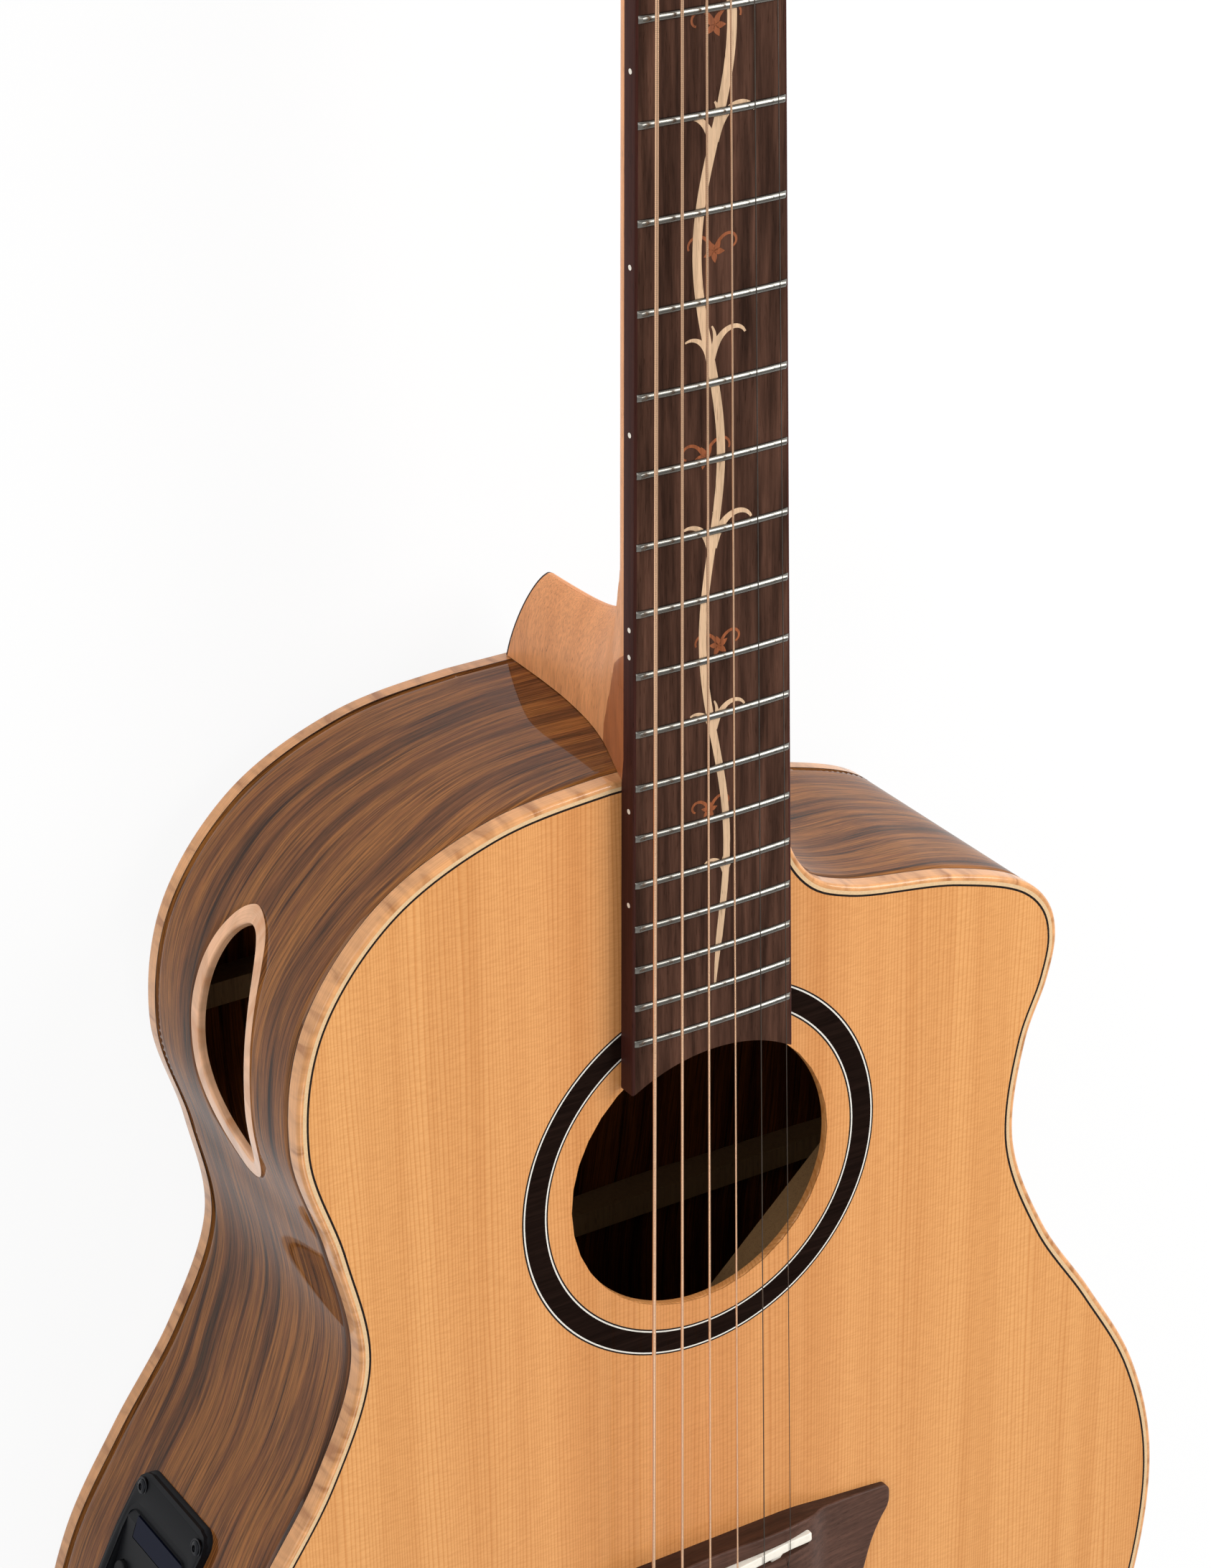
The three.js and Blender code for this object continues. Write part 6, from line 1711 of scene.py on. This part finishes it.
class GUITAR_OT_machine_heads(bpy.types.Operator):
    """Fit the six machine heads: gear housing, post and button"""

    bl_idname = "guitar.machine_heads"
    bl_label = "Machine heads"

    def execute(self, context):
        neck, heads = settings(context, "neck", "heads")
        for i in range(6):
            side, row = post_row(i)
            middle = [*post_place(heads, side, row), 0]
            number = 6 - i

            def placed(table):
                """Turn a table to its side of the headstock and lean it back with the headstock."""
                return surface(to_head(neck, table * [side, side, 1] + middle))

            low = -neck.head_thickness - 0.3 * MM - heads.box_depth
            box = block(
                rounded_rectangle(heads.box_width / 2, heads.box_length / 2, 4 * MM), low,
                -neck.head_thickness - 0.3 * MM, 1.6 * MM,
            ) + [1.5 * MM, 0, 0]
            bushing = turned(softened([
                [0, -neck.head_thickness], [4.7 * MM, -neck.head_thickness], [4.7 * MM, 0.3 * MM],
                [heads.washer_radius, 0.3 * MM], [heads.washer_radius, 1.6 * MM], [4.9 * MM, 2.4 * MM],
                [4.9 * MM, 2.6 * MM], [0, 2.6 * MM],
            ], 0.4 * MM), 40)
            axle = turned([[0, 4 * MM], [2.7 * MM, 4 * MM], [2.7 * MM, 12 * MM], [0, 12 * MM]], 24)
            axle = np.stack([axle[..., 2], axle[..., 0], axle[..., 1] + low + heads.box_depth / 2], -1)
            lid = turned(softened([[0, 0], [5.2 * MM, 0], [5.2 * MM, 0.7 * MM], [0, 0.7 * MM]], 0.3 * MM), 32)
            lid = lid * [1, 1, -1] + [0.5 * MM, 0, low]
            piece(
                f"machine_housing_{number}", [placed(t) for t in (box, bushing, axle, lid)],
                ["chrome_plate"], "chrome", replaces=[f"tuner_housing_{number}"],
            )
            post = turned(softened([
                [0, -20 * MM], [heads.post_radius, -20 * MM], [heads.post_radius, 5.5 * MM],
                [waist_radius, 5.9 * MM], [waist_radius, waist_top - 0.4 * MM],
                [heads.post_radius, waist_top],
                [heads.post_radius, heads.post_height], [0, heads.post_height],
            ], 0.35 * MM), 40)
            piece(
                f"machine_post_{number}", [placed(post)], ["chrome_plate"], "chrome",
                body=f"tuner_post_{number}_body", replaces=[f"tuner_post_{number}"],
            )
            start = 6.5 * MM
            knob = start + 13 * MM
            curve = [[r * heads.knob_radius, knob + heads.knob_length * h] for r, h in button_shares]
            curve = spline(curve, 4)
            curve[:, 0] = np.maximum(curve[:, 0], 0)
            paddle = turned(curve) * [0.5, 1, 1]
            stem = turned([[0, start], [2 * MM, start], [2 * MM, knob + 2 * MM], [0, knob + 2 * MM]], 24)
            drop = low + heads.box_depth / 2
            tables = [np.stack([t[..., 2], t[..., 1], t[..., 0] + drop], -1) for t in (paddle, stem)]
            piece(
                f"machine_button_{number}", [placed(t) for t in tables], ["chrome_plate"], "chrome",
                body=f"tuner_button_{number}_body", replaces=[f"tuner_button_{number}"],
            )
        return {"FINISHED"}


def preamp_controls(sizes, axes, middle):
    """Turned volume knob with a ribbed skirt and a pale mark, and a small round push button."""
    face = -0.7 * MM
    profile = softened([
        [0, -12 * MM], [3 * MM, -12 * MM], [3 * MM, face], [6.5 * MM, face], [6.5 * MM, face + 1.2 * MM],
        [6.1 * MM, face + 5.9 * MM], [5.4 * MM, face + 6.5 * MM], [0, face + 6.5 * MM],
    ], 0.5 * MM)
    knob = turned(profile, 144)
    angle = np.arctan2(knob[..., 1], knob[..., 0])
    rib = 1 - 0.025 * (np.cos(24 * angle) > 0) * (knob[..., 2] > face + 1.3 * MM)
    knob = knob * np.stack([rib, rib, np.ones_like(rib)], -1)
    mark = block(rounded_rectangle(0.35 * MM, 1.8 * MM, 0.3 * MM), 0, 0.1 * MM, 0.03 * MM)
    mark = mark + [0, 3.4 * MM, face + 6.48 * MM]
    centre = middle + sizes.volume_x * axes[:, 0] + sizes.volume_rise * axes[:, 1]
    piece(
        "volume_knob_ribbed", [surface(knob @ axes.T + centre), surface(mark @ axes.T + centre, 1)],
        ["knob_rubber", "white_line"], "black_plastic", body="volume_knob_body",
        replaces=["volume_knob"], sharp=25,
    )
    push = turned(softened([
        [0, -7 * MM], [3.35 * MM, -7 * MM], [3.35 * MM, 0.6 * MM], [0, 0.75 * MM],
    ], 0.6 * MM), 40)
    centre = middle + sizes.push_x * axes[:, 0] + sizes.push_rise * axes[:, 1]
    piece(
        "push_button_cap", [surface(push @ axes.T + centre)], ["knob_rubber"], "black_plastic",
        body="push_button_body", replaces=["preamp_push_button"],
    )


class GUITAR_OT_preamp(bpy.types.Operator):
    """Frame the preamp panel, and fit its screws, knob, button and display"""

    bl_idname = "guitar.preamp"
    bl_label = "Preamp"

    def execute(self, context):
        body, neck, sizes = settings(context, "body", "neck", "preamp")
        along, inward, up, middle = preamp_place(context)
        ring = body_outline(body, neck)
        way, at = wall_reader(ring)
        s_mid = way[int(np.argmin(np.linalg.norm(ring - middle[:2], axis=1)))]
        wear("black_abs", "preamp_housing", "battery_tray")
        wear("display_glass", "preamp_window")
        wear("painted_can", "battery")
        half = np.array([sizes.panel_length / 2, sizes.panel_height / 2])
        well = np.array([sizes.well_length / 2 - 1.2 * MM, sizes.well_height / 2 - 1.2 * MM])
        angles = np.linspace(0, 2 * np.pi, 289)
        stand = sizes.stand
        slope = np.array([3.0, 0.9]) * MM
        rows = [
            (half, sizes.corner, -0.1 * MM), (half - 0.1 * slope, sizes.corner, 0.3 * stand),
            (half - 0.6 * slope, sizes.corner - 0.6 * MM, stand - 0.7 * MM),
            (half - slope, sizes.corner - 1 * MM, stand - 0.1 * MM),
            (half - slope - 0.3 * MM, 4.8 * MM, stand), (well + 1.6 * MM, 5 * MM, stand),
            (well + 0.6 * MM, 4.4 * MM, stand - 0.3 * MM),
            (well, 4 * MM, stand - 1 * MM), (well - 0.05 * MM, 4 * MM, None),
        ]
        table = []
        for reach, corner, lift in rows:
            outline = rounded_rectangle(reach[0], reach[1], corner)
            chart = polar(outline, np.zeros(2), reach, angles)
            point, outward = at(s_mid + chart[:, 0])
            if lift is None:
                point3 = middle + chart[:, :1] * along + chart[:, 1:] * up + 1.0 * MM * inward
            else:
                point3 = np.column_stack([point + outward * lift, middle[2] + chart[:, 1]])
            table.append(point3)
        piece("preamp_frame", [surface(np.array(table))], ["black_abs"], "black_plastic", sharp=50)
        axes = np.stack([along, up, -inward], 1)
        screw = turned(softened([
            [sizes.screw_radius + 0.9 * MM, -0.6 * MM], [sizes.screw_radius + 0.9 * MM, 0.25 * MM],
            [sizes.screw_radius + 0.4 * MM, 0.25 * MM], [sizes.screw_radius + 0.1 * MM, 0.02 * MM],
            [sizes.screw_radius, 0.4 * MM], [1.5 * MM, 0.7 * MM], [1.1 * MM, 0.7 * MM], [1.0 * MM, 0.1 * MM],
            [0, 0.1 * MM],
        ], 0.15 * MM), 28)
        tables = []
        for x0 in (-sizes.screw_x, sizes.screw_x):
            point, outward = at(s_mid + x0)
            for z0 in (-sizes.screw_rise, sizes.screw_rise):
                foot = np.array([*(point + outward * stand), middle[2] + z0])
                tables.append(surface(screw @ axes.T + foot))
        piece("preamp_screws", tables, ["black_screw"], "steel")
        preamp_controls(sizes, axes, middle)
        return {"FINISHED"}


def strap_button(neck):
    """A waisted button, square to the heel's flank where the frame has it."""
    reach, depth, step = 12 * MM, 50 * MM, 0.3 * MM

    def flank(r, d):
        half = float(heel_half(neck, np.array(r), np.array(d)))
        return np.array([half, face_y(neck) + r, -d])

    centre = flank(reach, depth)
    out = np.cross(flank(reach, depth + step) - centre, flank(reach + step, depth) - centre)
    out /= np.linalg.norm(out)
    side = np.cross([0, 0, 1.0], out)
    side /= np.linalg.norm(side)
    axes = np.stack([side, np.cross(out, side), out], 1)
    profile = softened(MM * np.array([
        [0, -14], [2, -14], [2, 0], [7, 0], [7, 1.2], [4.2, 4.8], [4.2, 7.2], [7, 9.6], [7, 12],
        [2.6, 12], [2.4, 11.3], [0, 11.3],
    ]), 0.6 * MM)
    piece(
        "strap_button_turned", [surface(turned(profile) @ axes.T + centre)], ["chrome_plate"],
        "chrome", replaces=["strap_button"],
    )


class GUITAR_OT_fittings(bpy.types.Operator):
    """Turn the endpin jack and the strap button, and finish what is inside the box"""

    bl_idname = "guitar.fittings"
    bl_label = "Fittings and inside"

    def execute(self, context):
        body, neck = settings(context, "body", "neck")
        tail = joint_y(neck) - body.body_length
        z = float(edge_z(body, neck, tail)) / 2
        profile = softened(MM * np.array([
            [0, 16.7], [3.3, 16.7], [3.3, -13.3], [8, -13.3], [8, -10.3], [6, -7.3], [7.2, -3.5], [9.5, -1.8],
            [9.5, -0.25], [5.8, -0.2], [5.8, 33], [9, 33], [9, 36], [5.8, 36], [5.8, 38], [0, 38],
        ]), 0.5 * MM)
        jack = turned(profile, 56)
        jack = np.stack([jack[..., 0], jack[..., 2], jack[..., 1]], -1) + [0, tail, z]
        piece("jack_turned", [surface(jack)], ["chrome_plate"], "chrome", replaces=["endpin_jack"])
        strap_button(neck)
        wear("bare_spruce", "lining_top", "lining_back", "top_bracing", "back_bracing")
        wear("bare_mahogany", "neck_block", "tail_block")
        wear("plain_steel", "truss_rod")
        return {"FINISHED"}


def pale_floor(context):
    """A wide pale floor: white to the eye and in gloss, and matt for the object's shadow."""
    made, tree = new_finish("pale_floor")
    tone = toned(settings(context, "colours").floor, 1.0)
    path = put(tree, "LightPath").node.outputs
    seen = put(tree, "Math", {0: path["Is Camera Ray"], 1: path["Is Glossy Ray"]}, operation="MAXIMUM")
    seen = put(tree, "Math", {0: seen, 1: path["Is Transmission Ray"]}, operation="MAXIMUM")
    share = put(tree, "Math", {0: seen, 1: 0.92}, operation="MULTIPLY")
    matt = put(tree, "BsdfDiffuse", {"Color": tone})
    glow = put(tree, "Emission", {"Color": (1, 1, 1, 1), "Strength": 1.0})
    both = put(tree, "MixShader", {0: share, 1: matt, 2: glow})
    put(tree, "OutputMaterial", {"Surface": both})
    corners = np.array([[[-6, -6, 0], [6, -6, 0]], [[-6, 6, 0], [6, 6, 0]]], float)
    mesh = bpy.data.meshes.new("floor")
    mesh.from_pydata(corners.reshape(-1, 3).tolist(), [], [[0, 1, 3, 2]])
    mesh.materials.append(made)
    floor = bpy.data.objects.new("floor", mesh)
    context.scene.collection.objects.link(floor)


def studio_world(scene):
    """White to the eye, and in gloss white walls under a dimmer ceiling."""
    world = bpy.data.worlds.new("studio")
    world.use_nodes = True
    tree = world.node_tree
    tree.nodes.clear()
    path = put(tree, "LightPath").node.outputs
    sky = put(tree, "TexCoord").node.outputs["Generated"]
    rise = put(tree, "SeparateXYZ", {0: sky}).node.outputs["Z"]
    room = put(tree, "MapRange", {0: rise, 1: 0.15, 2: 0.6, 3: 1.0, 4: 0.32})
    mirrored = put(tree, "Math", {0: path["Is Glossy Ray"], 1: path["Is Transmission Ray"]},
                   operation="MAXIMUM")
    level = put(tree, "MapRange", {0: mirrored, 3: 0.45, 4: room})
    level = put(tree, "MapRange", {0: path["Is Camera Ray"], 3: level, 4: 1.0})
    glow = put(tree, "Background", {"Color": (1, 1, 1, 1), "Strength": level})
    put(tree, "OutputWorld", {"Surface": glow})
    scene.world = world


def studio_lamps():
    """Broad lamp on the treble side, small one over the tail for the strings, low one on the bass."""
    for name, place, target, size, watts in (
        ("key", (1.5, 0.9, 1.8), (0, -0.1, 0.1), 1.5, 56.0),
        ("strip", (-0.1, -1.3, 1.9), (0, -0.1, 0.1), 0.7, 5.0),
        ("fill", (-1.7, 0.8, 0.9), (0, -0.1, 0.1), 1.5, 12.0),
    ):
        lamp = bpy.data.lights.new(name, "AREA")
        lamp.size, lamp.energy = size, watts
        made = bpy.data.objects.new(name, lamp)
        aim = Vector(target) - Vector(place)
        made.matrix_world = Matrix.Translation(place) @ aim.to_track_quat("-Z", "Y").to_matrix().to_4x4()
        bpy.context.scene.collection.objects.link(made)


def photo_camera(scene):
    """The photograph's place, direction and lens, worked out from strings, frets and outline."""
    lens = bpy.data.cameras.new("camera")
    lens.sensor_width, lens.lens = 36.0, 90.753
    lens.sensor_fit = "AUTO"
    made = bpy.data.objects.new("camera", lens)
    right = Vector((0.85146823, -0.01323768, 0.52423909))
    up = Vector((0.24029406, 0.89840382, -0.36759942))
    back = Vector((-0.46611224, 0.43897076, 0.76814325))
    turn = Matrix((right, up, back)).transposed().to_4x4()
    place = Vector((-0.56615404, 0.14357004, 0.87898872)) + Vector(TO_FRAME)
    made.matrix_world = Matrix.Translation(place) @ turn
    lens.clip_start, lens.clip_end = 0.01, 100
    scene.collection.objects.link(made)
    scene.camera = made


class GUITAR_OT_stage(bpy.types.Operator):
    """Lay the pale floor, light it softly and set the camera"""

    bl_idname = "guitar.stage"
    bl_label = "Stage"

    def execute(self, context):
        pale_floor(context)
        studio_world(context.scene)
        studio_lamps()
        photo_camera(context.scene)
        context.scene.view_settings.view_transform = "Standard"
        return {"FINISHED"}


STEPS = (
    GUITAR_OT_finishes, GUITAR_OT_stage, GUITAR_OT_top, GUITAR_OT_box, GUITAR_OT_soundport, GUITAR_OT_neck,
    GUITAR_OT_fretboard, GUITAR_OT_bridge, GUITAR_OT_strings, GUITAR_OT_machine_heads, GUITAR_OT_preamp,
    GUITAR_OT_fittings,
)


class VIEW3D_PT_guitar(bpy.types.Panel):
    """Lists the steps that build the guitar, and its sizes and colours"""

    bl_label = "Guitar"
    bl_space_type = "VIEW_3D"
    bl_region_type = "UI"
    bl_category = "Guitar"

    def draw(self, context):
        for step in STEPS:
            self.layout.operator(step.bl_idname)
        for name, group in GROUPS.items():
            box = self.layout.box()
            box.label(text=group.__doc__)
            for key in group.__annotations__:
                box.prop(getattr(context.scene, name), key)


CLASSES = (*GROUPS.values(), *STEPS, VIEW3D_PT_guitar)


def register():
    for item in CLASSES:
        bpy.utils.register_class(item)
    for name, group in GROUPS.items():
        setattr(bpy.types.Scene, name, bpy.props.PointerProperty(type=group))


def unregister():
    for name in GROUPS:
        delattr(bpy.types.Scene, name)
    for item in reversed(CLASSES):
        bpy.utils.unregister_class(item)


def main():
    """Build every piece in order."""
    register()
    for step in STEPS:
        group, name = step.bl_idname.split(".")
        getattr(getattr(bpy.ops, group), name)()


if __name__ == "__main__":
    main()
